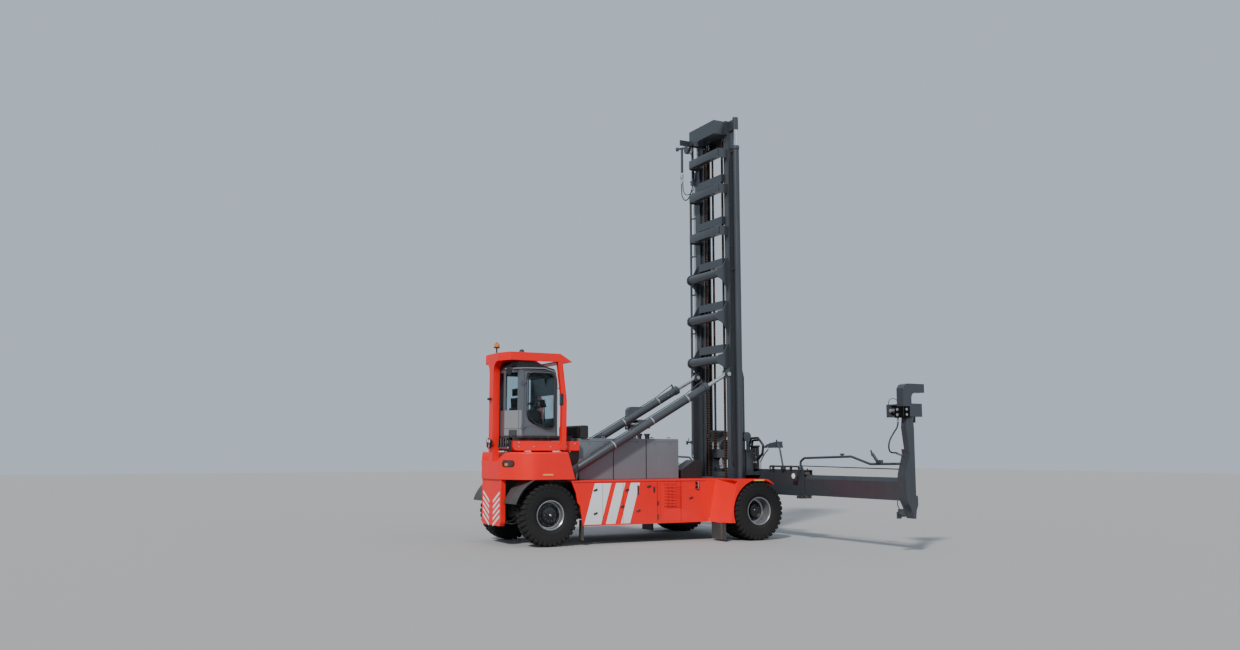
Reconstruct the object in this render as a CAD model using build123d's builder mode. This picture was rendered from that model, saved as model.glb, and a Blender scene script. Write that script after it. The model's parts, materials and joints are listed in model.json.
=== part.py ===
from build123d import *
import math
import os

os.makedirs("parts", exist_ok=True)

# Empty container handler with a side-lift spreader, in millimetres.
# +X is forward, +Y is the machine's left, +Z is up. The origin is on the ground,
# under the middle of the machine's bounding box.

# Wheels and axles
FRONT_AXLE_X = 2360
WHEELBASE = 5065
REAR_AXLE_X = FRONT_AXLE_X - WHEELBASE
TYRE_RADIUS = 687
TYRE_WIDTH = 375
TYRE_SHOULDER = 42
TYRE_SIDE_RISE = 60
RIM_RADIUS = 330
RIM_WALL = 22
RIM_DISC = 26
SEAT_GAP = 0.3
RUNNING_GAP = 0.3
ROLLING_GAP = 0.5
DUAL_PITCH = 450
DUAL_OUTER_Y = 1882.5
REAR_TYRE_Y = 1147
DUAL_DISH = 130
REAR_DISH = 60
HUB_RADIUS = 150
AXLE_TUBE_RADIUS = 160
AXLE_BULGE_RADIUS = 270
FRONT_SPINDLE_RADIUS = 90
FRONT_SPINDLE_END = 1600
KINGPIN_Y = 860
KINGPIN_RADIUS = 35
KINGPIN_EYE_RADIUS = 75
STEER_BEAM_HEIGHT = 220
STEER_BEAM_DEPTH = 180
REAR_SPINDLE_RADIUS = 60

# Body and chassis
BODY_HALF_WIDTH = 1350
PANEL_BOTTOM_Z = 430
DECK_TOP_Z = 1430
DECK_THICKNESS = 30
PANEL_THICKNESS = 30
SHEET = 20
PANEL_FRONT_BOTTOM_X = FRONT_AXLE_X - 980
PANEL_FRONT_TOP_X = FRONT_AXLE_X - 750
ARCH_EDGE = (
    # distance ahead of the steering axle, height
    (495, 1400), (595, 1170), (635, 950), (705, 870), (775, PANEL_BOTTOM_Z),
)
FRAME_BEAM_INNER_Y = 420
FRAME_BEAM_WIDTH = 160
FRAME_BOTTOM_Z = 560
FRAME_TOP_Z = 1150
FRAME_REAR_X = REAR_AXLE_X + 920
FRAME_STEP_X = FRONT_AXLE_X - 900
FRAME_FRONT_X = FRONT_AXLE_X - 60
FRAME_FRONT_TOP_Z = 1360
AXLE_PAD = 60
NECK_HALF_WIDTH = 230
FENDER_HALF_WIDTH = 2070
FENDER_ARCH_RADIUS = 735
FENDER_FRONT_X = FRONT_AXLE_X + 400
HOOD_BOTTOM_Z = 1460
HOOD_TOP_Z = 2070
HOOD_REAR_X = REAR_AXLE_X - 935
HOOD_FRONT_TOP_X = REAR_AXLE_X + 400
HOOD_FRONT_BOTTOM_X = REAR_AXLE_X + 585
WEIGHT_HALF_WIDTH = BODY_HALF_WIDTH - 750
WEIGHT_DEPTH = 115
WEIGHT_CORNER = 120
TIE_DOWN_RADIUS = 45
TIE_DOWN_Y = 420
TIE_DOWN_Z = 600
REAR_GUARD_RADIUS = 860
REAR_GUARD_WIDTH = 710

# Batteries and tilt cylinders
BATTERY_HALF_WIDTH = 560
BATTERY_TOP_Z = 2390
BATTERY_REAR_X = FRONT_AXLE_X - 4020
BATTERY_SEAMS = (FRONT_AXLE_X - 3115, FRONT_AXLE_X - 2225)
BATTERY_FRONT_X = FRONT_AXLE_X - 1310
BATTERY_GAP = 8
TILT_Y = 720
TILT_BASE_X = FRONT_AXLE_X - 4320
TILT_BASE_Z = 1600
TILT_EYE_X = FRONT_AXLE_X + 10
TILT_EYE_Z = 4020
TILT_BARREL_RADIUS = 98
TILT_ROD_RADIUS = 48
TILT_BARREL_LENGTH = 4290
TILT_PIN_RADIUS = 40
TILT_EYE_RADIUS = 85
TILT_EYE_WIDTH = 90
LUG_THICKNESS = 30

# Cab and its guard
CAB_FLOOR_Z = 2390
CAB_HALF_WIDTH = 700
CAB_REAR_HALF_WIDTH = 350
CAB_REAR_X = REAR_AXLE_X - 750
CAB_CORNER_X = REAR_AXLE_X - 530
CAB_PILLAR_X = REAR_AXLE_X - 410
CAB_FRONT_X = REAR_AXLE_X + 500
CAB_BEVEL_X = REAR_AXLE_X + 410
CAB_FRONT_HALF_WIDTH = 600
CAB_SPLIT_X = REAR_AXLE_X + 393
CAB_SILL_Z = 3010
CAB_HEAD_Z = 3900
CAB_ROOF_Z = 3940
CAB_WALL = 50
GLASS = 8
DOOR_GAP = 8
HINGE_RADIUS = 18
PLATFORM_TOP_Z = 2320
PLATFORM_BOTTOM_Z = 2100
GUARD_TOP_Z = 4320
GUARD_FASCIA = 190
GUARD_HALF_WIDTH = 800
GUARD_REAR_HALF_WIDTH = 385
GUARD_REAR_X = REAR_AXLE_X - 935
GUARD_SIDE_X = REAR_AXLE_X - 775
GUARD_FRONT_X = REAR_AXLE_X + 450
GUARD_TIP_X = REAR_AXLE_X + 735
POST_DEPTH = 160
POST_WIDTH = 250
FRONT_POST_DEPTH = 120
FRONT_POST_WIDTH = 110

# Mast
MAST_PIVOT_Z = TYRE_RADIUS
UPRIGHT_REAR_X = FRONT_AXLE_X + 100
UPRIGHT_FRONT_X = FRONT_AXLE_X + 440
UPRIGHT_INNER_Y = 600
UPRIGHT_OUTER_Y = 800
UPRIGHT_FLANGE = 40
UPRIGHT_WEB = 45
OUTER_MAST_BOTTOM_Z = 500
OUTER_MAST_TOP_Z = 9900
SLIDE_GAP = 15
INNER_WEB = 40
INNER_FLANGE = 32
INNER_MAST_BOTTOM_Z = 1000
INNER_MAST_TOP_Z = 10300
HEADER_HEIGHT = 360
HEADER_TOP_Z = INNER_MAST_TOP_Z + HEADER_HEIGHT
OUTER_BAR_LEVELS = (4400, 5510, 6620, 7730, 8840, 9780)
TUBE_BAR_COUNT = 3
OUTER_BAR_X = FRONT_AXLE_X - 120
OUTER_BAR_RADIUS = 108
OUTER_BAR_HALF_WIDTH = 700
INNER_BAR_LEVELS = (1350, 4700, 5820, 6930, 8030, 9150)
INNER_BAR_REAR_X = FRONT_AXLE_X + 30
INNER_BAR_HEIGHT = 200
INNER_HALF_WIDTH = 570
HEADER_HALF_WIDTH = 605
HEADER_REAR_X = FRONT_AXLE_X - 210
LIFT_CYLINDER_X = FRONT_AXLE_X + 262
LIFT_CYLINDER_Y = 900
LIFT_BARREL_RADIUS = 78
LIFT_ROD_RADIUS = 50
LIFT_BARREL_BOTTOM_Z = 760
LIFT_BARREL_TOP_Z = 9850
EAR_BOTTOM_Z = INNER_MAST_TOP_Z + 80
EAR_TOP_Z = INNER_MAST_TOP_Z + 400
EAR_RADIUS = 72
EAR_OUTER_Y = 970
CHAIN_Y = 390
CHAIN_WIDTH = 60
CHAIN_THICKNESS = 30
CHAIN_STRAND_X = FRONT_AXLE_X + 175
CHAIN_FRONT_X = FRONT_AXLE_X + 390
SHEAVE_Z = INNER_MAST_TOP_Z - 180

# Carriage and spreader
CARRIAGE_BOTTOM_Z = 1150
CARRIAGE_TOP_Z = 2640
CARRIAGE_PLATE_Y = 440
CARRIAGE_PLATE = 50
CARRIAGE_FACE_X = FRONT_AXLE_X + 700
SPREADER_REAR_X = FRONT_AXLE_X + 800
SPREADER_FRONT_X = FRONT_AXLE_X + 1060
HOUSING_HALF_LENGTH = 2735
HOUSING_BOTTOM_Z = 1045
HOUSING_TOP_Z = 1655
HOUSING_WALL = 20
BEAM_BOTTOM_Z = HOUSING_BOTTOM_Z + HOUSING_WALL + ROLLING_GAP
BEAM_TOP_Z = 1540
BEAM_SHOULDER_Z = 1450
BEAM_DEPTH = 100
BEAM_INNER_END = 1750
ARM_INNER_Y = 5860
ARM_OUTER_Y = 6100
LOCK_Y = 5993
LOCK_PIN_RADIUS = 24
LOCK_PIN_LENGTH = 120
HEAD_BOTTOM_Z = 2800
HEAD_TOP_Z = 3075
HEAD_INNER_Y = 5440
HEAD_OUTER_Y = 6130


def block(x0, x1, y0, y1, z0, z1, mode=Mode.ADD):
    """A box between two corners, in the open part."""
    with Locations(((x0 + x1) / 2, (y0 + y1) / 2, (z0 + z1) / 2)):
        Box(abs(x1 - x0), abs(y1 - y0), abs(z1 - z0), mode=mode)


def prism(plane, points, depth, mode=Mode.ADD):
    """A polygon on a plane, extruded along the plane's normal."""
    with BuildSketch(plane) as outline:
        with BuildLine():
            Polyline(*points, close=True)
        make_face()
    extrude(outline.sketch, amount=depth, mode=mode)


def side_plane(y):
    """Local x is +X and local y is +Z, seen from the right; the normal is -Y."""
    return Plane(origin=(0, y, 0), x_dir=(1, 0, 0), z_dir=(0, -1, 0))


def top_plane(z):
    """Local x is +X and local y is +Y; the normal is +Z."""
    return Plane.XY.offset(z)


def rod_between(start, end, radius, mode=Mode.ADD):
    """A round bar from one point to another, in the open part."""
    path = Vector(*end) - Vector(*start)
    with BuildSketch(Plane(origin=start, z_dir=path)) as disc:
        Circle(radius)
    extrude(disc.sketch, amount=path.length, mode=mode)


def save(part, label):
    """Name a finished piece and write its file."""
    part.label = label
    export_step(part, f"parts/{label}.step")


def ring_profile(centre_x, centre_y, centre_z, points):
    """Revolve (axial, radial) points about an axis along Y."""
    across = Plane(origin=(centre_x, centre_y, centre_z), x_dir=(0, 1, 0), z_dir=(1, 0, 0))
    with BuildSketch(across) as section:
        with BuildLine():
            Polyline(*points, close=True)
        make_face()
    revolve(section.sketch, axis=Axis((centre_x, centre_y, centre_z), (0, 1, 0)))


def tyre_points(width):
    """Half section of a tyre as (axial, radial) points."""
    half = width / 2
    bead = half - 35
    side = RIM_RADIUS + TYRE_SIDE_RISE
    crown = TYRE_RADIUS - 2 * TYRE_SHOULDER
    return [
        (-bead, RIM_RADIUS), (-half, side), (-half, crown), (-half + TYRE_SHOULDER, TYRE_RADIUS),
        (half - TYRE_SHOULDER, TYRE_RADIUS), (half, crown), (half, side), (bead, RIM_RADIUS),
    ]


# Each side of the machine: its name and the sign of its Y
SIDES = (("right", -1), ("left", 1))

for side, sign in SIDES:
    # Rear wheel: tyre, then a one-piece rim with a hub pocket for the knuckle's spindle
    with BuildPart() as rear_tyre:
        ring_profile(REAR_AXLE_X, sign * REAR_TYRE_Y, TYRE_RADIUS, tyre_points(TYRE_WIDTH))
    save(rear_tyre.part, f"rear_tyre_{side}")

    rim_outer = RIM_RADIUS - SEAT_GAP
    rim_inner = rim_outer - RIM_WALL
    barrel_half = TYRE_WIDTH / 2 - 20
    disc_outer = TYRE_WIDTH / 2 - REAR_DISH
    hub_inner = -90
    hub_outer = TYRE_WIDTH / 2 + 15
    pocket = REAR_SPINDLE_RADIUS + RUNNING_GAP
    pocket_end = 80
    with BuildPart() as rear_rim:
        rim_section = [
            (-barrel_half, rim_inner), (-barrel_half, rim_outer), (barrel_half, rim_outer),
            (barrel_half, rim_inner), (disc_outer, rim_inner), (disc_outer, HUB_RADIUS),
            (hub_outer, HUB_RADIUS - 30), (hub_outer, 0), (pocket_end, 0), (pocket_end, pocket),
            (hub_inner, pocket), (hub_inner, HUB_RADIUS - 30), (disc_outer - RIM_DISC, HUB_RADIUS),
            (disc_outer - RIM_DISC, rim_inner),
        ]
        ring_profile(REAR_AXLE_X, sign * REAR_TYRE_Y, TYRE_RADIUS,
                     [(sign * axial, radial) for axial, radial in rim_section])
    save(rear_rim.part, f"rear_rim_{side}")

    # Front twin wheel: two tyres, and two rims joined by a spacer ring with one deep dish
    inner_tyre_y = DUAL_OUTER_Y - DUAL_PITCH
    with BuildPart() as front_tyres:
        for tyre_y in (DUAL_OUTER_Y, inner_tyre_y):
            ring_profile(FRONT_AXLE_X, sign * tyre_y, TYRE_RADIUS, tyre_points(TYRE_WIDTH))
    save(front_tyres.part, f"front_tyres_{side}")

    rim_start = inner_tyre_y - barrel_half
    rim_end = DUAL_OUTER_Y + barrel_half
    dish_y = DUAL_OUTER_Y - DUAL_DISH
    front_pocket = FRONT_SPINDLE_RADIUS + RUNNING_GAP
    hub_start = inner_tyre_y - 60
    hub_end = DUAL_OUTER_Y + 40
    with BuildPart() as front_rim:
        front_section = [
            (rim_start, rim_inner), (rim_start, rim_outer), (rim_end, rim_outer), (rim_end, rim_inner),
            (dish_y, rim_inner), (dish_y, HUB_RADIUS + 20), (hub_end, HUB_RADIUS - 30), (hub_end, 0),
            (FRONT_SPINDLE_END + RUNNING_GAP, 0), (FRONT_SPINDLE_END + RUNNING_GAP, front_pocket),
            (hub_start, front_pocket), (hub_start, HUB_RADIUS), (dish_y - RIM_DISC, HUB_RADIUS + 20),
            (dish_y - RIM_DISC, rim_inner),
        ]
        ring_profile(FRONT_AXLE_X, 0, TYRE_RADIUS,
                     [(sign * axial, radial) for axial, radial in front_section])
    save(front_rim.part, f"front_rim_{side}")

    # Steering knuckle: fork round the beam's eye, kingpin, web and spindle
    eye_half = STEER_BEAM_HEIGHT / 2
    fork = 45
    fork_half_width = 80
    web_y = KINGPIN_Y + KINGPIN_EYE_RADIUS + 12
    web_thickness = 40
    spindle_end = REAR_TYRE_Y + pocket_end - RUNNING_GAP
    with BuildPart() as knuckle:
        for low in (TYRE_RADIUS + eye_half + RUNNING_GAP, TYRE_RADIUS - eye_half - RUNNING_GAP - fork):
            block(REAR_AXLE_X - fork_half_width, REAR_AXLE_X + fork_half_width,
                  sign * (KINGPIN_Y - fork_half_width), sign * (web_y + web_thickness), low, low + fork)
        block(REAR_AXLE_X - fork_half_width, REAR_AXLE_X + fork_half_width,
              sign * web_y, sign * (web_y + web_thickness),
              TYRE_RADIUS - eye_half - fork, TYRE_RADIUS + eye_half + fork)
        rod_between((REAR_AXLE_X, sign * KINGPIN_Y, TYRE_RADIUS - eye_half - fork),
                    (REAR_AXLE_X, sign * KINGPIN_Y, TYRE_RADIUS + eye_half + fork), KINGPIN_RADIUS)
        rod_between((REAR_AXLE_X, sign * web_y, TYRE_RADIUS),
                    (REAR_AXLE_X, sign * spindle_end, TYRE_RADIUS), REAR_SPINDLE_RADIUS)
    save(knuckle.part, f"knuckle_{side}")

# Steering axle: box beam with an eye at each end and two pads up to the frame neck
with BuildPart() as steer_axle:
    block(REAR_AXLE_X - STEER_BEAM_DEPTH / 2, REAR_AXLE_X + STEER_BEAM_DEPTH / 2,
          -KINGPIN_Y, KINGPIN_Y, TYRE_RADIUS - eye_half, TYRE_RADIUS + eye_half)
    for side, sign in SIDES:
        block(REAR_AXLE_X - STEER_BEAM_DEPTH, REAR_AXLE_X + STEER_BEAM_DEPTH,
              sign * (KINGPIN_Y - KINGPIN_EYE_RADIUS + 15), sign * (KINGPIN_Y + KINGPIN_EYE_RADIUS + 20),
              TYRE_RADIUS - eye_half, TYRE_RADIUS + eye_half, mode=Mode.SUBTRACT)
        rod_between((REAR_AXLE_X, sign * KINGPIN_Y, TYRE_RADIUS - eye_half),
                    (REAR_AXLE_X, sign * KINGPIN_Y, TYRE_RADIUS + eye_half), KINGPIN_EYE_RADIUS)
        rod_between((REAR_AXLE_X, sign * KINGPIN_Y, TYRE_RADIUS - eye_half),
                    (REAR_AXLE_X, sign * KINGPIN_Y, TYRE_RADIUS + eye_half),
                    KINGPIN_RADIUS + RUNNING_GAP, mode=Mode.SUBTRACT)
    # Steering cylinder along the beam's rear face
    rod_between((REAR_AXLE_X - STEER_BEAM_DEPTH / 2 - 50, -330, TYRE_RADIUS),
                (REAR_AXLE_X - STEER_BEAM_DEPTH / 2 - 50, 330, TYRE_RADIUS), 60)
    rod_between((REAR_AXLE_X - STEER_BEAM_DEPTH / 2 - 50, -520, TYRE_RADIUS),
                (REAR_AXLE_X - STEER_BEAM_DEPTH / 2 - 50, 520, TYRE_RADIUS), 28)
save(steer_axle.part, "steer_axle")

# Drive axle: round tubes, differential bulge and the two spindles
with BuildPart() as drive_axle:
    tube_end = hub_start - 5
    axle_section = [
        (-FRONT_SPINDLE_END, 0), (-FRONT_SPINDLE_END, FRONT_SPINDLE_RADIUS),
        (-tube_end, FRONT_SPINDLE_RADIUS), (-tube_end, AXLE_TUBE_RADIUS),
        (-330, AXLE_TUBE_RADIUS), (-190, AXLE_BULGE_RADIUS), (190, AXLE_BULGE_RADIUS),
        (330, AXLE_TUBE_RADIUS), (tube_end, AXLE_TUBE_RADIUS), (tube_end, FRONT_SPINDLE_RADIUS),
        (FRONT_SPINDLE_END, FRONT_SPINDLE_RADIUS), (FRONT_SPINDLE_END, 0),
    ]
    ring_profile(FRONT_AXLE_X, 0, TYRE_RADIUS, axle_section)
    block(FRONT_AXLE_X - 620, FRONT_AXLE_X - 200, -170, 170, TYRE_RADIUS - 190, TYRE_RADIUS + 190)
save(drive_axle.part, "drive_axle")

# Drive motor block behind the axle, between the frame beams
with BuildPart() as drive_motor:
    block(FRONT_AXLE_X - 1500, FRONT_AXLE_X - 620 - SEAT_GAP, -300, 300, TYRE_RADIUS - 120,
          TYRE_RADIUS + 300)
save(drive_motor.part, "drive_motor")

# Chassis frame: two stepped beams, cross members, axle pads, rear neck and tilt lugs
beam_outer_y = FRAME_BEAM_INNER_Y + FRAME_BEAM_WIDTH
axle_pad_z = TYRE_RADIUS + AXLE_TUBE_RADIUS
beam_profile = [
    (FRAME_REAR_X, FRAME_BOTTOM_Z), (FRAME_STEP_X, FRAME_BOTTOM_Z),
    (FRAME_STEP_X + 250, axle_pad_z + AXLE_PAD), (FRAME_FRONT_X, axle_pad_z + AXLE_PAD),
    (FRAME_FRONT_X, FRAME_FRONT_TOP_Z), (FRAME_STEP_X, FRAME_FRONT_TOP_Z),
    (FRAME_STEP_X - 300, FRAME_TOP_Z), (FRAME_REAR_X, FRAME_TOP_Z),
]
deck_bottom_z = DECK_TOP_Z - DECK_THICKNESS
with BuildPart() as chassis_frame:
    for side, sign in SIDES:
        prism(side_plane(-FRAME_BEAM_INNER_Y if sign < 0 else beam_outer_y), beam_profile, FRAME_BEAM_WIDTH)
        block(FRONT_AXLE_X - 150, FRAME_FRONT_X, sign * FRAME_BEAM_INNER_Y, sign * beam_outer_y,
              axle_pad_z - 100, axle_pad_z + AXLE_PAD)
    rod_between((FRONT_AXLE_X, -1200, TYRE_RADIUS), (FRONT_AXLE_X, 1200, TYRE_RADIUS),
                AXLE_TUBE_RADIUS + SEAT_GAP, mode=Mode.SUBTRACT)
    # Rear cross box that carries the panels, and a slimmer outrigger on each side further forward
    outrigger_end = BODY_HALF_WIDTH - PANEL_THICKNESS
    block(FRAME_REAR_X, FRAME_REAR_X + 200, -outrigger_end, outrigger_end, FRAME_BOTTOM_Z, deck_bottom_z)
    outrigger_x = FRONT_AXLE_X - 1180
    for sign in (-1, 1):
        block(outrigger_x, outrigger_x + 90, sign * FRAME_BEAM_INNER_Y, sign * outrigger_end,
              FRAME_BOTTOM_Z, deck_bottom_z)
    # Front cross member above the drive axle
    block(FRAME_FRONT_X - 90, FRAME_FRONT_X, -FRAME_BEAM_INNER_Y, FRAME_BEAM_INNER_Y, 1080, 1300)
    block(BATTERY_REAR_X, BATTERY_FRONT_X, -beam_outer_y, beam_outer_y, FRAME_TOP_Z - 60, FRAME_TOP_Z)
    # Neck over the steering axle, its pads and the hanger of the counterweight
    neck_bottom = TYRE_RADIUS + eye_half + AXLE_PAD
    weight_front_x = HOOD_REAR_X + 40 + WEIGHT_DEPTH
    block(weight_front_x, FRAME_REAR_X, -NECK_HALF_WIDTH, NECK_HALF_WIDTH, neck_bottom, HOOD_BOTTOM_Z)
    block(REAR_AXLE_X - 80, REAR_AXLE_X + 80, -NECK_HALF_WIDTH, NECK_HALF_WIDTH,
          TYRE_RADIUS + eye_half, neck_bottom)
    block(weight_front_x, weight_front_x + 180, -NECK_HALF_WIDTH, NECK_HALF_WIDTH,
          PANEL_BOTTOM_Z + 60, neck_bottom)
    block(weight_front_x, HOOD_FRONT_TOP_X, -420, 420, HOOD_BOTTOM_Z - 60, HOOD_BOTTOM_Z)
    # Lugs for the tilt cylinders' base pins, on an upstand behind the batteries
    for side, sign in SIDES:
        for lug_y in (TILT_Y - TILT_EYE_WIDTH / 2 - LUG_THICKNESS - 5, TILT_Y + TILT_EYE_WIDTH / 2 + 5):
            block(TILT_BASE_X - 110, TILT_BASE_X + 110, sign * lug_y, sign * (lug_y + LUG_THICKNESS),
                  deck_bottom_z, TILT_BASE_Z + 90)
        rod_between((TILT_BASE_X, sign * (TILT_Y - TILT_EYE_WIDTH / 2 - LUG_THICKNESS - 25), TILT_BASE_Z),
                    (TILT_BASE_X, sign * (TILT_Y + TILT_EYE_WIDTH / 2 + LUG_THICKNESS + 25), TILT_BASE_Z),
                    TILT_PIN_RADIUS)
        block(TILT_BASE_X - 110, FRAME_REAR_X + 100, sign * 600, sign * 840, deck_bottom_z, DECK_TOP_Z)
save(chassis_frame.part, "chassis_frame")

# Side panels: red sheet from arch to fender, with shallow seams, a louvre field and a toe rail
PANEL_SEAM = 8
PANEL_SEAM_DEPTH = 6
LOUVRE_COUNT = 10
LOUVRE_PITCH = 52
LOUVRE_REAR_X = FRONT_AXLE_X - 2120
LOUVRE_WIDTH = 400
LOUVRE_BOTTOM_Z = 760
DOOR_SEAM_X = (FRONT_AXLE_X - 2300, FRONT_AXLE_X - 3060)
with BuildPart() as side_panels:
    for side, sign in SIDES:
        prism(side_plane(BODY_HALF_WIDTH if sign > 0 else PANEL_THICKNESS - BODY_HALF_WIDTH), [
            *((REAR_AXLE_X + ahead, height) for ahead, height in ARCH_EDGE),
            (PANEL_FRONT_BOTTOM_X, PANEL_BOTTOM_Z), (PANEL_FRONT_TOP_X, deck_bottom_z),
        ], PANEL_THICKNESS)
        face_y = sign * BODY_HALF_WIDTH
        for seam_x in DOOR_SEAM_X:
            block(seam_x, seam_x + PANEL_SEAM, sign * (BODY_HALF_WIDTH - PANEL_SEAM_DEPTH), face_y + sign,
                  PANEL_BOTTOM_Z + 60, deck_bottom_z - 60, mode=Mode.SUBTRACT)
        for index in range(LOUVRE_COUNT):
            slot_z = LOUVRE_BOTTOM_Z + index * LOUVRE_PITCH
            block(LOUVRE_REAR_X, LOUVRE_REAR_X + LOUVRE_WIDTH, sign * (BODY_HALF_WIDTH - 14), face_y + sign,
                  slot_z, slot_z + LOUVRE_PITCH / 2, mode=Mode.SUBTRACT)
save(side_panels.part, "side_panels")

# Deck plate over the panels, open round the tilt cylinder bases
deck_rear_x = REAR_AXLE_X + ARCH_EDGE[0][0]
with BuildPart() as deck:
    block(deck_rear_x, FRONT_AXLE_X - 220, -BODY_HALF_WIDTH, BODY_HALF_WIDTH, deck_bottom_z, DECK_TOP_Z)
    for side, sign in SIDES:
        block(TILT_BASE_X - 300, TILT_BASE_X + 280, sign * 550, sign * 900,
              deck_bottom_z, DECK_TOP_Z, mode=Mode.SUBTRACT)
    block(deck_rear_x - 1, FRAME_REAR_X + SEAT_GAP, -900, 900, deck_bottom_z, DECK_TOP_Z,
          mode=Mode.SUBTRACT)
save(deck.part, "deck")

# Electrical equipment boxes behind the side panels
with BuildPart() as equipment_boxes:
    for side, sign in SIDES:
        block(FRAME_REAR_X + 260, FRONT_AXLE_X - 1240, sign * (beam_outer_y + SEAT_GAP),
              sign * (outrigger_end - 60),
              FRAME_BOTTOM_Z - 60, deck_bottom_z - SEAT_GAP)
save(equipment_boxes.part, "equipment_boxes")

# Battery boxes in a row on the deck
battery_bounds = [BATTERY_REAR_X, *BATTERY_SEAMS, BATTERY_FRONT_X]
with BuildPart() as battery_boxes:
    for start, end in zip(battery_bounds[:-1], battery_bounds[1:]):
        block(start, end - BATTERY_GAP, -BATTERY_HALF_WIDTH, BATTERY_HALF_WIDTH,
              DECK_TOP_Z + SEAT_GAP, BATTERY_TOP_Z)
save(battery_boxes.part, "battery_boxes")

# Hydraulic valve cover in front of the batteries
with BuildPart() as valve_cover:
    prism(side_plane(0), [
        (FRONT_AXLE_X - 1180, DECK_TOP_Z + SEAT_GAP), (FRONT_AXLE_X - 560, DECK_TOP_Z + SEAT_GAP),
        (FRONT_AXLE_X - 560, DECK_TOP_Z + 430), (FRONT_AXLE_X - 760, DECK_TOP_Z + 450),
        (FRONT_AXLE_X - 1180, DECK_TOP_Z + 200),
    ], 420)
    fillet(valve_cover.edges().filter_by(Axis.Y).group_by(Axis.Z)[-1], radius=60)
save(valve_cover.part, "valve_cover")

# Hood over the steering axle: tapered tail, sloping front, post notch and tilt recess
tail_mid_x = HOOD_REAR_X + 280
tail_side_x = HOOD_REAR_X + 520
tail_mid_y = BODY_HALF_WIDTH - 150
tail_rear_y = BODY_HALF_WIDTH - 800
TAIL_ROUND = 420
HOOD_NOTCH_Z = 1860
HOOD_NOTCH_HALF_WIDTH = 450
HOOD_NOTCH_SLOPE = 300
with BuildPart() as hood:
    prism(top_plane(HOOD_BOTTOM_Z), [
        (HOOD_REAR_X, -tail_rear_y), (HOOD_REAR_X, tail_rear_y), (tail_mid_x, tail_mid_y),
        (tail_side_x, BODY_HALF_WIDTH), (HOOD_FRONT_BOTTOM_X, BODY_HALF_WIDTH),
        (HOOD_FRONT_BOTTOM_X, -BODY_HALF_WIDTH), (tail_side_x, -BODY_HALF_WIDTH), (tail_mid_x, -tail_mid_y),
    ], HOOD_TOP_Z - HOOD_BOTTOM_Z)
    upright_groups = hood.edges().filter_by(Axis.Z).group_by(Axis.X)
    fillet(upright_groups[1] + upright_groups[2], radius=TAIL_ROUND)
    fillet(hood.edges().filter_by(Axis.Z).group_by(Axis.X)[0], radius=160)
    fillet(hood.faces().sort_by(Axis.Z)[-1].edges(), radius=45)
    prism(side_plane(BODY_HALF_WIDTH + 50), [
        (HOOD_FRONT_TOP_X, HOOD_TOP_Z + 10), (HOOD_FRONT_BOTTOM_X + 50, HOOD_TOP_Z + 10),
        (HOOD_FRONT_BOTTOM_X + 50, HOOD_BOTTOM_Z - 10), (HOOD_FRONT_BOTTOM_X, HOOD_BOTTOM_Z - 10),
    ], 2 * BODY_HALF_WIDTH + 100, mode=Mode.SUBTRACT)
    notch_plane = Plane(origin=(HOOD_REAR_X - 10, 0, 0), x_dir=(0, 1, 0), z_dir=(1, 0, 0))
    prism(notch_plane, [
        (-HOOD_NOTCH_HALF_WIDTH, HOOD_NOTCH_Z), (HOOD_NOTCH_HALF_WIDTH, HOOD_NOTCH_Z),
        (HOOD_NOTCH_HALF_WIDTH + HOOD_NOTCH_SLOPE, HOOD_TOP_Z + 10),
        (-HOOD_NOTCH_HALF_WIDTH - HOOD_NOTCH_SLOPE, HOOD_TOP_Z + 10),
    ], 330, mode=Mode.SUBTRACT)
    block(HOOD_FRONT_TOP_X - 40, HOOD_FRONT_BOTTOM_X + 10, -950, 950, HOOD_BOTTOM_Z - 10, HOOD_TOP_Z + 10,
          mode=Mode.SUBTRACT)
save(hood.part, "hood")

# Counterweight plate below the hood, with a tie-down bore
weight_rear_x = HOOD_REAR_X + 40
with BuildPart() as counterweight:
    block(weight_rear_x, weight_rear_x + WEIGHT_DEPTH, -WEIGHT_HALF_WIDTH, WEIGHT_HALF_WIDTH,
          PANEL_BOTTOM_Z, HOOD_BOTTOM_Z)
    fillet(counterweight.edges().filter_by(Axis.X).group_by(Axis.Z)[0], radius=WEIGHT_CORNER)
    rod_between((weight_rear_x - 1, TIE_DOWN_Y, TIE_DOWN_Z),
                (weight_rear_x + WEIGHT_DEPTH + 1, TIE_DOWN_Y, TIE_DOWN_Z), TIE_DOWN_RADIUS,
                    mode=Mode.SUBTRACT)
save(counterweight.part, "counterweight")

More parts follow.
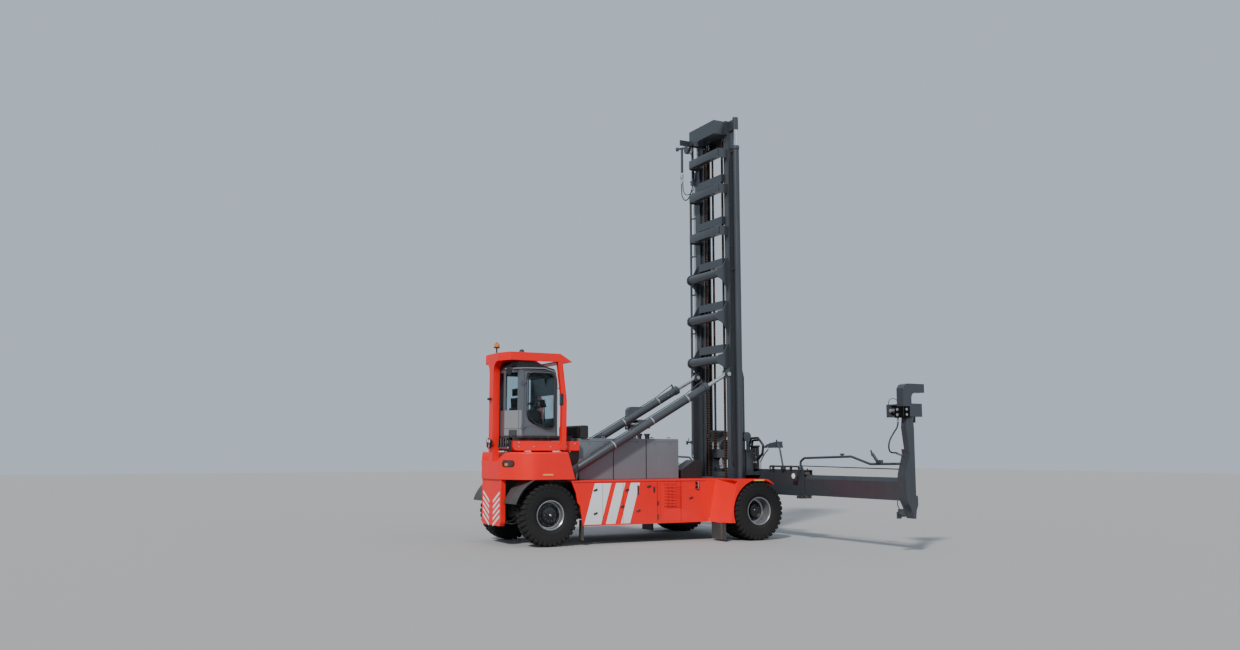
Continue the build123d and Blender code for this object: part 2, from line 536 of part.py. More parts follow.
# Mudguards over the steered wheels: curved sheet from the hood down behind the tyre
guard_low = math.radians(163)
guard_high = math.radians(116.5)
with BuildPart() as rear_mudguards:
    for side, sign in SIDES:
        guard_y = REAR_GUARD_WIDTH - BODY_HALF_WIDTH + 10 if sign < 0 else BODY_HALF_WIDTH - 10
        outer_arc = REAR_GUARD_RADIUS + SHEET
        with BuildSketch(side_plane(guard_y)) as guard_section:
            with BuildLine():
                CenterArc((REAR_AXLE_X, TYRE_RADIUS), REAR_GUARD_RADIUS, 116.5, 46.5)
                CenterArc((REAR_AXLE_X, TYRE_RADIUS), outer_arc, 116.5, 46.5)
                for angle in (guard_high, guard_low):
                    Line((REAR_AXLE_X + REAR_GUARD_RADIUS * math.cos(angle),
                          TYRE_RADIUS + REAR_GUARD_RADIUS * math.sin(angle)),
                         (REAR_AXLE_X + outer_arc * math.cos(angle),
                          TYRE_RADIUS + outer_arc * math.sin(angle)))
            make_face()
        extrude(guard_section.sketch, amount=REAR_GUARD_WIDTH)
    block(REAR_AXLE_X - 2000, REAR_AXLE_X + 2000, -2000, 2000, HOOD_BOTTOM_Z - SEAT_GAP,
          HOOD_BOTTOM_Z + 200,
          mode=Mode.SUBTRACT)
save(rear_mudguards.part, "rear_mudguards")

# Front fenders: rear wall, top plate and arched skirt over each twin wheel
wall_inner_x = FRONT_AXLE_X - 865
wall_outer_x = FRONT_AXLE_X - 735
with BuildPart() as front_fenders:
    for side, sign in SIDES:
        inner_y = BODY_HALF_WIDTH
        skirt_y = sign * (FENDER_HALF_WIDTH if sign > 0 else FENDER_HALF_WIDTH - SHEET)
        # Rear wall leans like the panel's front edge
        with BuildSketch(top_plane(PANEL_BOTTOM_Z)) as wall_low:
            with BuildLine():
                Polyline((wall_inner_x - 110, sign * inner_y),
                         (wall_outer_x - 95, sign * FENDER_HALF_WIDTH),
                         (wall_outer_x - 65, sign * FENDER_HALF_WIDTH), (wall_inner_x - 80, sign * inner_y),
                         close=True)
            make_face()
        with BuildSketch(top_plane(DECK_TOP_Z)) as wall_high:
            with BuildLine():
                Polyline((wall_inner_x + 115, sign * inner_y),
                         (wall_outer_x + 115, sign * FENDER_HALF_WIDTH),
                         (wall_outer_x + 145, sign * FENDER_HALF_WIDTH),
                             (wall_inner_x + 145, sign * inner_y),
                         close=True)
            make_face()
        loft(sections=[wall_low.sketch, wall_high.sketch])
        # Top plate and its sloping lip
        prism(side_plane(sign * inner_y if sign < 0 else FENDER_HALF_WIDTH), [
            (wall_inner_x + 140, DECK_TOP_Z - DECK_THICKNESS),
                (FENDER_FRONT_X - 160, DECK_TOP_Z - DECK_THICKNESS),
            (FENDER_FRONT_X, DECK_TOP_Z - 130), (FENDER_FRONT_X + 15, DECK_TOP_Z - 105),
            (FENDER_FRONT_X - 150, DECK_TOP_Z), (wall_inner_x + 120, DECK_TOP_Z),
        ], FENDER_HALF_WIDTH - inner_y)
        # Skirt
        prism(side_plane(skirt_y), [
            (wall_outer_x - 80, PANEL_BOTTOM_Z), (wall_outer_x + 40, PANEL_BOTTOM_Z),
            (FRONT_AXLE_X, DECK_TOP_Z - 50), (FENDER_FRONT_X, DECK_TOP_Z - 130),
            (FENDER_FRONT_X - 150, DECK_TOP_Z), (wall_outer_x + 130, DECK_TOP_Z),
        ], SHEET)
    rod_between((FRONT_AXLE_X, -3000, TYRE_RADIUS), (FRONT_AXLE_X, 3000, TYRE_RADIUS),
                FENDER_ARCH_RADIUS, mode=Mode.SUBTRACT)
save(front_fenders.part, "front_fenders")

# Mudflaps: flat rubber behind the front wheels and ahead of the steered ones
with BuildPart() as mudflaps:
    for side, sign in SIDES:
        block(FRONT_AXLE_X - 925, FRONT_AXLE_X - 915, sign * 1400, sign * 2000, 40,
              PANEL_BOTTOM_Z - SEAT_GAP)
        block(REAR_AXLE_X + 800, REAR_AXLE_X + 812, sign * 1090,
              sign * (BODY_HALF_WIDTH - PANEL_THICKNESS - SEAT_GAP), 110, PANEL_BOTTOM_Z + 130)
save(mudflaps.part, "mudflaps")

# Cab platform on pads above the hood, with a rounded lower rear corner
platform_rear_x = REAR_AXLE_X - 655
platform_front_x = FRONT_AXLE_X - 4075
with BuildPart() as cab_platform:
    block(platform_rear_x, platform_front_x, -CAB_HALF_WIDTH, CAB_HALF_WIDTH, PLATFORM_BOTTOM_Z,
          PLATFORM_TOP_Z)
    fillet(cab_platform.edges().filter_by(Axis.Y).group_by(Axis.Z)[0].sort_by(Axis.X)[0], radius=90)
    for pad_x in (REAR_AXLE_X - 400, REAR_AXLE_X + 280):
        block(pad_x, pad_x + 120, -500, 500, HOOD_TOP_Z, PLATFORM_BOTTOM_Z)
save(cab_platform.part, "cab_platform")

# Overhead guard: eight-sided roof with a sloping front lip
guard_bottom_z = GUARD_TOP_Z - GUARD_FASCIA
GUARD_PLAN = [
    (GUARD_REAR_X, -GUARD_REAR_HALF_WIDTH), (GUARD_REAR_X, GUARD_REAR_HALF_WIDTH),
    (GUARD_SIDE_X, GUARD_HALF_WIDTH), (GUARD_TIP_X, GUARD_HALF_WIDTH),
    (GUARD_TIP_X, -GUARD_HALF_WIDTH), (GUARD_SIDE_X, -GUARD_HALF_WIDTH),
]
GUARD_RIM = 60
GUARD_PLATE = 30
with BuildPart() as guard_roof:
    prism(top_plane(guard_bottom_z), GUARD_PLAN, GUARD_FASCIA)
    prism(side_plane(GUARD_HALF_WIDTH + 50), [
        (GUARD_FRONT_X, GUARD_TOP_Z), (GUARD_FRONT_X, GUARD_TOP_Z + 50),
            (GUARD_TIP_X + 50, GUARD_TOP_Z + 50),
        (GUARD_TIP_X + 50, guard_bottom_z), (GUARD_TIP_X, guard_bottom_z + 20),
    ], 2 * GUARD_HALF_WIDTH + 100, mode=Mode.SUBTRACT)
    with BuildSketch(top_plane(guard_bottom_z)) as guard_hollow:
        with BuildLine():
            Polyline(*GUARD_PLAN, close=True)
        make_face()
        offset(amount=-GUARD_RIM, kind=Kind.INTERSECTION, mode=Mode.REPLACE)
    extrude(guard_hollow.sketch, amount=GUARD_FASCIA - GUARD_PLATE, mode=Mode.SUBTRACT)
    block(GUARD_FRONT_X - 60, GUARD_TIP_X, -GUARD_HALF_WIDTH + GUARD_RIM, GUARD_HALF_WIDTH - GUARD_RIM,
          guard_bottom_z, guard_bottom_z + 20)
save(guard_roof.part, "guard_roof")

# Guard posts: one curved post at the rear and two slim ones in front
post_front_x = GUARD_REAR_X + POST_DEPTH
POST_FILLET = 260
FRONT_POST_LINE = (
    # distance ahead of the steering axle, height
    (545, PLATFORM_BOTTOM_Z + 20), (555, 3260), (445, guard_bottom_z),
)
post_inner_y = GUARD_HALF_WIDTH - FRONT_POST_WIDTH
with BuildPart() as guard_posts:
    block(GUARD_REAR_X, post_front_x, -POST_WIDTH / 2, POST_WIDTH / 2, HOOD_NOTCH_Z, guard_bottom_z)
    with BuildSketch(Plane(origin=(GUARD_REAR_X, 0, 0), x_dir=(0, 1, 0), z_dir=(1, 0, 0))) as post_top:
        for sign in (-1, 1):
            corner_y = sign * POST_WIDTH / 2
            with BuildLine():
                Polyline((corner_y + sign * POST_FILLET, guard_bottom_z), (corner_y, guard_bottom_z),
                         (corner_y, guard_bottom_z - POST_FILLET))
                CenterArc((corner_y + sign * POST_FILLET, guard_bottom_z - POST_FILLET), POST_FILLET,
                          90, sign * 90)
            make_face()
    extrude(post_top.sketch, amount=POST_DEPTH)
    for side, sign in SIDES:
        post_y = sign * post_inner_y if sign < 0 else GUARD_HALF_WIDTH
        prism(side_plane(post_y), [
            *((REAR_AXLE_X + ahead - FRONT_POST_DEPTH / 2, height) for ahead, height in FRONT_POST_LINE),
            *((REAR_AXLE_X + ahead + FRONT_POST_DEPTH / 2, height) for ahead,
              height in FRONT_POST_LINE[::-1]),
        ], FRONT_POST_WIDTH)
        block(REAR_AXLE_X + 400, REAR_AXLE_X + 700, sign * CAB_HALF_WIDTH, sign * (post_inner_y - 10),
              PLATFORM_BOTTOM_Z - 40, PLATFORM_TOP_Z, mode=Mode.SUBTRACT)
save(guard_posts.part, "guard_posts")

# Cab: hollow shell with bevelled rear corners, split at its real panels
CAB_PLAN = [
    (CAB_FRONT_X, -CAB_FRONT_HALF_WIDTH), (CAB_BEVEL_X, -CAB_HALF_WIDTH), (CAB_CORNER_X, -CAB_HALF_WIDTH),
    (CAB_REAR_X, -CAB_REAR_HALF_WIDTH), (CAB_REAR_X, CAB_REAR_HALF_WIDTH), (CAB_CORNER_X, CAB_HALF_WIDTH),
    (CAB_BEVEL_X, CAB_HALF_WIDTH), (CAB_FRONT_X, CAB_FRONT_HALF_WIDTH),
]
CAB_FLOOR = 40
WINDSCREEN_LINE = (
    # distance behind the cab's foremost plane, height
    (60, CAB_FLOOR_Z - 10), (0, 3050), (0, 3300), (135, CAB_ROOF_Z + 10),
)
cab_wall_z = CAB_FLOOR_Z + CAB_FLOOR
bevel_x = (CAB_CORNER_X + CAB_REAR_X) / 2
bevel_y = (CAB_HALF_WIDTH + CAB_REAR_HALF_WIDTH) / 2
bevel_run = CAB_HALF_WIDTH - CAB_REAR_HALF_WIDTH
bevel_length = math.hypot(bevel_run, CAB_CORNER_X - CAB_REAR_X)
door_rear_x = CAB_PILLAR_X + DOOR_GAP
door_front_x = CAB_SPLIT_X - DOOR_GAP
door_bottom_z = cab_wall_z + DOOR_GAP
door_top_z = CAB_HEAD_Z
DOOR_OUTLINE = [
    (door_rear_x, door_bottom_z), (door_front_x, door_bottom_z), (door_front_x, door_top_z - 110),
    (door_front_x - 35, door_top_z - 30), (door_front_x - 110, door_top_z), (door_rear_x, door_top_z),
]


def cab_prism(inset, z0, z1):
    """The cab's plan, drawn in by an inset, between two heights, trimmed to the bent windscreen."""
    with BuildSketch(top_plane(z0)) as plan:
        with BuildLine():
            Polyline(*CAB_PLAN, close=True)
        make_face()
        if inset:
            offset(amount=-inset, kind=Kind.INTERSECTION, mode=Mode.REPLACE)
    extrude(plan.sketch, amount=z1 - z0)
    prism(side_plane(1000), [
        *((CAB_FRONT_X - inset - behind, height) for behind, height in WINDSCREEN_LINE),
        (CAB_FRONT_X + 50, CAB_ROOF_Z + 10), (CAB_FRONT_X + 50, CAB_FLOOR_Z - 10),
    ], 2000, mode=Mode.SUBTRACT)


def cab_shell(outer_inset, inner_inset, z0, z1):
    """The ring between two insets of the cab's plan."""
    cab_prism(outer_inset, z0, z1)
    with BuildPart(mode=Mode.PRIVATE) as core:
        cab_prism(inner_inset, z0 - 1, z1 + 1)
    add(core.part, mode=Mode.SUBTRACT)


def window_cutters(mode=Mode.SUBTRACT):
    """Windscreen, left, rear and two corner windows as boxes through the walls."""
    head = CAB_HEAD_Z - 30
    block(CAB_BEVEL_X + 22, CAB_FRONT_X + 50, -680, 680, cab_wall_z + 60, head - 90, mode=mode)
    block(CAB_PILLAR_X + 90, CAB_SPLIT_X - 60, 600, 750, cab_wall_z + 360, head, mode=mode)
    block(CAB_REAR_X - 50, CAB_REAR_X + 150, -310, 310, CAB_SILL_Z, head, mode=mode)
    for sign in (-1, 1):
        corner = Plane(origin=(bevel_x, sign * bevel_y, (CAB_SILL_Z + head) / 2),
                       x_dir=(0, 0, 1), z_dir=(-bevel_run, sign * (CAB_REAR_X - CAB_CORNER_X) * -1, 0))
        with Locations(corner):
            Box(head - CAB_SILL_Z, bevel_length - 85, 160, mode=mode)


with BuildPart() as cab_floor:
    cab_prism(0, CAB_FLOOR_Z, cab_wall_z)
    for foot_x in (CAB_CORNER_X + 60, CAB_FRONT_X - 260):
        for sign in (-1, 1):
            block(foot_x, foot_x + 110, sign * 430, sign * 560, PLATFORM_TOP_Z, CAB_FLOOR_Z)
    block(CAB_CORNER_X + 60, CAB_FRONT_X - 360, 480, CAB_HALF_WIDTH - CAB_WALL, cab_wall_z,
          cab_wall_z + 330)
save(cab_floor.part, "cab_floor")

with BuildPart() as cab_rear_wall:
    cab_shell(0, CAB_WALL, cab_wall_z, CAB_ROOF_Z)
    window_cutters()
    block(CAB_PILLAR_X, CAB_FRONT_X + 50, -1000, 1000, cab_wall_z - 5, CAB_ROOF_Z + 5, mode=Mode.SUBTRACT)
    # Hinge pins on the near pillar
    for hinge_z in (2650, 3650):
        block(CAB_PILLAR_X - 60, CAB_PILLAR_X - 4, -CAB_HALF_WIDTH - 34, -CAB_HALF_WIDTH, hinge_z - 60,
              hinge_z - 30)
        rod_between((CAB_PILLAR_X - 22, -CAB_HALF_WIDTH - 22, hinge_z - 45),
                    (CAB_PILLAR_X - 22, -CAB_HALF_WIDTH - 22, hinge_z + 28), 9)
save(cab_rear_wall.part, "cab_rear_wall")

with BuildPart() as cab_left_wall:
    cab_shell(0, CAB_WALL, cab_wall_z, CAB_ROOF_Z)
    window_cutters()
    block(CAB_REAR_X - 50, CAB_PILLAR_X, -1000, 1000, cab_wall_z - 5, CAB_ROOF_Z + 5, mode=Mode.SUBTRACT)
    block(CAB_SPLIT_X, CAB_FRONT_X + 50, -1000, 1000, cab_wall_z - 5, CAB_ROOF_Z + 5, mode=Mode.SUBTRACT)
    block(CAB_REAR_X, CAB_FRONT_X, -1000, 0, cab_wall_z - 5, CAB_ROOF_Z + 5, mode=Mode.SUBTRACT)
save(cab_left_wall.part, "cab_left_wall")

with BuildPart() as cab_right_frame:
    cab_shell(0, CAB_WALL, cab_wall_z, CAB_ROOF_Z)
    block(CAB_REAR_X - 50, CAB_PILLAR_X, -1000, 1000, cab_wall_z - 5, CAB_ROOF_Z + 5, mode=Mode.SUBTRACT)
    block(CAB_SPLIT_X, CAB_FRONT_X + 50, -1000, 1000, cab_wall_z - 5, CAB_ROOF_Z + 5, mode=Mode.SUBTRACT)
    block(CAB_REAR_X, CAB_FRONT_X, 0, 1000, cab_wall_z - 5, CAB_ROOF_Z + 5, mode=Mode.SUBTRACT)
    with BuildSketch(side_plane(-100)) as door_hole:
        with BuildLine():
            Polyline(*DOOR_OUTLINE, close=True)
        make_face()
        offset(amount=DOOR_GAP, kind=Kind.INTERSECTION, mode=Mode.REPLACE)
    extrude(door_hole.sketch, amount=900, mode=Mode.SUBTRACT)
    block(CAB_PILLAR_X - 1, CAB_SPLIT_X + 1, -1000, -100, cab_wall_z - 1, door_bottom_z, mode=Mode.SUBTRACT)
save(cab_right_frame.part, "cab_right_frame")

with BuildPart() as cab_front_frame:
    cab_shell(0, CAB_WALL, cab_wall_z, CAB_ROOF_Z)
    window_cutters()
    block(CAB_REAR_X - 50, CAB_SPLIT_X, -1000, 1000, cab_wall_z - 5, CAB_ROOF_Z + 5, mode=Mode.SUBTRACT)
save(cab_front_frame.part, "cab_front_frame")

with BuildPart() as cab_glass:
    cab_shell(21, 21 + GLASS, cab_wall_z + 10, CAB_ROOF_Z - 10)
    with BuildPart(mode=Mode.PRIVATE) as panes:
        window_cutters(mode=Mode.ADD)
    add(panes.part, mode=Mode.INTERSECT)
save(cab_glass.part, "cab_glass")

ROOF_LINE = (
    # distance ahead of the windscreen's top edge, height over the walls
    (-1115 - 20, 0), (0, 0), (-40, 30), (-215, 75), (-490, 175), (-820, 215), (-1030, 150), (-1125, 50),
)
ROOF_HOLLOW = (
    (-1065, 0), (-130, 0), (-500, 140), (-800, 175), (-990, 110),
)
with BuildPart() as cab_roof:
    roof_front_x = CAB_FRONT_X - WINDSCREEN_LINE[-1][0]
    prism(side_plane(CAB_HALF_WIDTH), [(roof_front_x + x, CAB_ROOF_Z + z) for x, z in ROOF_LINE],
          2 * CAB_HALF_WIDTH)
    for sign in (-1, 1):
        prism(top_plane(CAB_ROOF_Z - 5), [
            (CAB_REAR_X - 60, sign * CAB_REAR_HALF_WIDTH), (CAB_REAR_X - 60, sign * 900),
            (CAB_CORNER_X - 30, sign * 900), (CAB_CORNER_X - 30, sign * (CAB_HALF_WIDTH + 20)),
        ], 200, mode=Mode.SUBTRACT)
    prism(side_plane(CAB_HALF_WIDTH - 60), [(roof_front_x + x, CAB_ROOF_Z + z) for x, z in ROOF_HOLLOW],
          2 * CAB_HALF_WIDTH - 120, mode=Mode.SUBTRACT)
save(cab_roof.part, "cab_roof")

# Cab door with its window, hinge sleeves and inside grip
hinge_x = CAB_PILLAR_X - 22
hinge_y = -CAB_HALF_WIDTH - 22
window_rear_x = door_rear_x + 72
window_front_x = door_front_x - 48
DOOR_WINDOW = [
    (window_rear_x, door_top_z - 40), (window_rear_x, 2890), (window_rear_x + 35, 2790),
        (window_rear_x + 130, 2710),
    (window_front_x - 120, 2590), (window_front_x - 55, 2585), (window_front_x, 2640),
    (window_front_x, door_top_z - 110), (window_front_x - 75, door_top_z - 40),
]
with BuildPart() as cab_door:
    prism(side_plane(-CAB_HALF_WIDTH + 40), DOOR_OUTLINE, 40)
    prism(side_plane(-CAB_HALF_WIDTH + 41), DOOR_WINDOW, 42, mode=Mode.SUBTRACT)
    for hinge_z in (2650, 3650):
        block(hinge_x, door_rear_x + 30, hinge_y - 7, -CAB_HALF_WIDTH - 2, hinge_z - 22, hinge_z + 22)
        block(door_rear_x + 4, door_rear_x + 30, hinge_y - 7, -CAB_HALF_WIDTH, hinge_z - 22, hinge_z + 22)
        rod_between((hinge_x, hinge_y, hinge_z - 22), (hinge_x, hinge_y, hinge_z + 22), HINGE_RADIUS)
        rod_between((hinge_x, hinge_y, hinge_z - 22), (hinge_x, hinge_y, hinge_z + 22), 9 + 0.1,
                    mode=Mode.SUBTRACT)
    block(door_front_x - 45, door_front_x - 18, -CAB_HALF_WIDTH - 40, -CAB_HALF_WIDTH, 2950, 3110)
    block(door_front_x - 46, door_front_x - 17, -CAB_HALF_WIDTH - 22, -CAB_HALF_WIDTH, 2970, 3090,
          mode=Mode.SUBTRACT)
save(cab_door.part, "cab_door")

with BuildPart() as door_glass:
    prism(side_plane(-CAB_HALF_WIDTH + 16 + GLASS), DOOR_WINDOW, GLASS)
save(door_glass.part, "door_glass")

# Operator's seat, its soft cushions and the steering column
SEAT_X = REAR_AXLE_X - 140
seat_base_top = cab_wall_z + 330
with BuildPart() as seat_base:
    block(SEAT_X - 200, SEAT_X + 220, -210, 210, cab_wall_z, seat_base_top)
    block(SEAT_X - 260, SEAT_X - 200, -220, 220, seat_base_top - 60, seat_base_top + 330)
save(seat_base.part, "seat_base")

with BuildPart() as seat_cushions:
    block(SEAT_X - 195, SEAT_X + 250, -240, 240, seat_base_top + SEAT_GAP, seat_base_top + 110)
    fillet(seat_cushions.edges().filter_by(Axis.Y), radius=40)
    prism(side_plane(230), [
        (SEAT_X - 200 + SEAT_GAP, seat_base_top + 112), (SEAT_X - 80, seat_base_top + 112),
        (SEAT_X - 150, seat_base_top + 780), (SEAT_X - 250, seat_base_top + 780),
        (SEAT_X - 250, seat_base_top + 330 + SEAT_GAP),
            (SEAT_X - 200 + SEAT_GAP, seat_base_top + 330 + SEAT_GAP),
    ], 460)
save(seat_cushions.part, "seat_cushions")

with BuildPart() as steering_console:
    prism(side_plane(90), [
        (CAB_FRONT_X - 350, cab_wall_z), (CAB_FRONT_X - 170, cab_wall_z),
            (CAB_FRONT_X - 210, cab_wall_z + 560),
        (CAB_FRONT_X - 330, cab_wall_z + 640),
    ], 180)
    with Locations(Plane(origin=(CAB_FRONT_X - 325, 0, cab_wall_z + 665), z_dir=(-0.45, 0, 0.9))):
        Torus(180, 16)
        Cylinder(165, 14)
        Cylinder(30, 110)
save(steering_console.part, "steering_console")

# Electrical box in front of the cab, on the rear battery box
with BuildPart() as charger_box:
    block(FRONT_AXLE_X - 4010, FRONT_AXLE_X - 3800, -600, 600, BATTERY_TOP_Z + SEAT_GAP,
          BATTERY_TOP_Z + 300)
    fillet(charger_box.edges().filter_by(Axis.Y), radius=40)
save(charger_box.part, "charger_box")

# Lamps and beacons on the guard, post and fenders
with BuildPart() as lamps:
    # Beacon: foot, pole, lens and cap; then the aerial dome
    for radius, low, high in ((60, 0, 20), (18, 20, 160), (72, 160, 245), (32, 245, 275)):
        with Locations((GUARD_REAR_X + 120, 0, GUARD_TOP_Z + (low + high) / 2)):
            Cylinder(radius, high - low)
    with Locations((GUARD_REAR_X + 600, -350, GUARD_TOP_Z + 55)):
        Cylinder(60, 110)
    block(GUARD_REAR_X - 85, GUARD_REAR_X - SEAT_GAP, -130, 10, 2200, 2340)
    block(GUARD_REAR_X - 60, GUARD_REAR_X - SEAT_GAP, -90, 90, 3230, 3330)
save(lamps.part, "lamps")

# Outer mast: two channel uprights, crossbars, side plates and the saddles on the drive axle
ANCHOR_TOP_Z = 970
SIDE_PLATE = 15
SIDE_PLATE_OUTLINE = [
    # distance ahead of the drive axle, height
    (-40, 900), (480, 700), (480, 3950), (400, 4250), (100, 4250), (-40, 3850),
]
UPPER_BAR_REAR_X = FRONT_AXLE_X - 165
UPPER_BAR_FRONT_X = FRONT_AXLE_X - 10
UPPER_BAR_HALF_HEIGHT = 105
GUSSET = 40
GUSSET_OUTLINE = (
    # distance ahead of the tube bar's centre line, height over it
    (225, 430), (60, 150), (-75, 112), (-122, 40), (-122, -70), (-75, -120), (40, -165), (130, -260),
    (185, -390), (225, -560),
)
# The lowest gusset stops above the tilt cylinder's eye
GUSSET_FEET = (-250, -560, -560)
CLAMP_LEVELS = ((700, 60), (6690, 50), (9780, 70))
with BuildPart() as outer_mast:
    cavity_x0 = UPRIGHT_REAR_X + UPRIGHT_FLANGE
    cavity_x1 = UPRIGHT_FRONT_X - UPRIGHT_FLANGE
    for side, sign in SIDES:
        block(UPRIGHT_REAR_X, UPRIGHT_FRONT_X, sign * UPRIGHT_INNER_Y, sign * UPRIGHT_OUTER_Y,
              OUTER_MAST_BOTTOM_Z, OUTER_MAST_TOP_Z)
        block(cavity_x0, cavity_x1, sign * (UPRIGHT_INNER_Y - 1), sign * (UPRIGHT_OUTER_Y - UPRIGHT_WEB),
              OUTER_MAST_BOTTOM_Z - 1, OUTER_MAST_TOP_Z + 1, mode=Mode.SUBTRACT)
        plate_y = -UPRIGHT_OUTER_Y if sign < 0 else UPRIGHT_OUTER_Y + SIDE_PLATE
        prism(side_plane(plate_y), [(FRONT_AXLE_X + x, z) for x, z in SIDE_PLATE_OUTLINE], SIDE_PLATE)
        # Saddle round the axle tube
        saddle_y = sign * 620 if sign < 0 else 780
        prism(side_plane(saddle_y), [
            (FRONT_AXLE_X - 225, MAST_PIVOT_Z - 120), (FRONT_AXLE_X - 100, MAST_PIVOT_Z - 215),
            (FRONT_AXLE_X + 200, MAST_PIVOT_Z - 215), (UPRIGHT_REAR_X + 20, MAST_PIVOT_Z + 260),
            (FRONT_AXLE_X - 100, MAST_PIVOT_Z + 225), (FRONT_AXLE_X - 225, MAST_PIVOT_Z + 120),
        ], 160)
        # Clevis lugs for the tilt cylinder's rod eye
        for lug_y in (TILT_Y - TILT_EYE_WIDTH / 2 - LUG_THICKNESS - 6, TILT_Y + TILT_EYE_WIDTH / 2 + 6):
            low_y = sign * lug_y if sign < 0 else lug_y + LUG_THICKNESS
            prism(side_plane(low_y), [
                (TILT_EYE_X - 70, TILT_EYE_Z - 90), (TILT_EYE_X + 60, TILT_EYE_Z - 90),
                (UPRIGHT_REAR_X + 10, TILT_EYE_Z - 190), (UPRIGHT_REAR_X + 10, TILT_EYE_Z + 190),
                (TILT_EYE_X - 70, TILT_EYE_Z + 90),
            ], LUG_THICKNESS)
        rod_between((TILT_EYE_X, sign * (TILT_Y - TILT_EYE_WIDTH / 2 - LUG_THICKNESS - 26), TILT_EYE_Z),
                    (TILT_EYE_X, sign * (TILT_Y + TILT_EYE_WIDTH / 2 + LUG_THICKNESS + 26), TILT_EYE_Z),
                    TILT_PIN_RADIUS)
        # Chain anchor behind the inner upright's foot
        block(UPRIGHT_REAR_X, UPRIGHT_REAR_X + UPRIGHT_FLANGE, sign * 345, sign * (UPRIGHT_INNER_Y + 40),
              ANCHOR_TOP_Z - 70, ANCHOR_TOP_Z)
        block(UPRIGHT_REAR_X, CHAIN_STRAND_X + CHAIN_THICKNESS / 2, sign * 345, sign * 430,
              ANCHOR_TOP_Z - 70, ANCHOR_TOP_Z)
        # Lift cylinder's foot bracket and its two clamps
        for bracket_z, bracket_height in CLAMP_LEVELS:
            block(LIFT_CYLINDER_X - 85, LIFT_CYLINDER_X + 85, sign * (UPRIGHT_OUTER_Y - 5), sign * 930,
                  bracket_z, bracket_z + bracket_height)
    # Saddle bore
    rod_between((FRONT_AXLE_X, -1000, MAST_PIVOT_Z), (FRONT_AXLE_X, 1000, MAST_PIVOT_Z),
                AXLE_TUBE_RADIUS + RUNNING_GAP, mode=Mode.SUBTRACT)
    # Bottom member in front of the axle
    block(FRONT_AXLE_X + 300, UPRIGHT_FRONT_X, -UPRIGHT_OUTER_Y + 20, UPRIGHT_OUTER_Y - 20,
          OUTER_MAST_BOTTOM_Z, 720)
    for level, foot in zip(OUTER_BAR_LEVELS[:TUBE_BAR_COUNT], GUSSET_FEET):
        rod_between((OUTER_BAR_X, -OUTER_BAR_HALF_WIDTH, level), (OUTER_BAR_X, OUTER_BAR_HALF_WIDTH, level),
                    OUTER_BAR_RADIUS)
        for side, sign in SIDES:
            gusset_y = -OUTER_BAR_HALF_WIDTH + GUSSET if sign < 0 else OUTER_BAR_HALF_WIDTH + GUSSET
            prism(side_plane(gusset_y),
                  [(OUTER_BAR_X + x, level + max(z, foot)) for x, z in GUSSET_OUTLINE],
                  GUSSET)
    for level in OUTER_BAR_LEVELS[TUBE_BAR_COUNT:]:
        block(UPPER_BAR_REAR_X, UPPER_BAR_FRONT_X, -OUTER_BAR_HALF_WIDTH, OUTER_BAR_HALF_WIDTH,
              level - UPPER_BAR_HALF_HEIGHT, level + UPPER_BAR_HALF_HEIGHT)
        for side, sign in SIDES:
            block(UPPER_BAR_FRONT_X, UPRIGHT_REAR_X + 5, sign * 620, sign * OUTER_BAR_HALF_WIDTH,
                  level - UPPER_BAR_HALF_HEIGHT, level + UPPER_BAR_HALF_HEIGHT)
            block(UPPER_BAR_REAR_X + 25, UPRIGHT_REAR_X + 5, sign * OUTER_BAR_HALF_WIDTH,
                  sign * (OUTER_BAR_HALF_WIDTH + 25),
                  level - UPPER_BAR_HALF_HEIGHT - 25, level + UPPER_BAR_HALF_HEIGHT + 5)
    # The lift barrels pass through their clamps
    for side, sign in SIDES:
        rod_between((LIFT_CYLINDER_X, sign * LIFT_CYLINDER_Y, LIFT_BARREL_BOTTOM_Z),
                    (LIFT_CYLINDER_X, sign * LIFT_CYLINDER_Y, LIFT_BARREL_TOP_Z + 150),
                        LIFT_BARREL_RADIUS + SEAT_GAP,
                    mode=Mode.SUBTRACT)
save(outer_mast.part, "outer_mast")

with BuildPart() as lift_barrels:
    for side, sign in SIDES:
        rod_between((LIFT_CYLINDER_X, sign * LIFT_CYLINDER_Y, LIFT_BARREL_BOTTOM_Z + SEAT_GAP),
                    (LIFT_CYLINDER_X, sign * LIFT_CYLINDER_Y, LIFT_BARREL_TOP_Z), LIFT_BARREL_RADIUS)
        rod_between((LIFT_CYLINDER_X, sign * LIFT_CYLINDER_Y, LIFT_BARREL_TOP_Z),
                    (LIFT_CYLINDER_X, sign * LIFT_CYLINDER_Y, LIFT_BARREL_TOP_Z + 90),
                        LIFT_BARREL_RADIUS + 22)
        rod_between((LIFT_CYLINDER_X, sign * LIFT_CYLINDER_Y, LIFT_BARREL_BOTTOM_Z + 60),
                    (LIFT_CYLINDER_X, sign * LIFT_CYLINDER_Y, 10100), LIFT_ROD_RADIUS + RUNNING_GAP,
                    mode=Mode.SUBTRACT)
save(lift_barrels.part, "lift_barrels")

# Chain strands that hang on the outer mast's anchors; each is the inner half of its chain's width
STRAND_SPLIT = 7
with BuildPart() as outer_chains:
    for side, sign in SIDES:
        block(CHAIN_STRAND_X - CHAIN_THICKNESS / 2, CHAIN_STRAND_X + CHAIN_THICKNESS / 2,
              sign * (CHAIN_Y - CHAIN_WIDTH / 2 - 5), sign * (CHAIN_Y - STRAND_SPLIT),
                  ANCHOR_TOP_Z + SEAT_GAP,
              OUTER_MAST_TOP_Z - 20)
save(outer_chains.part, "outer_chains")

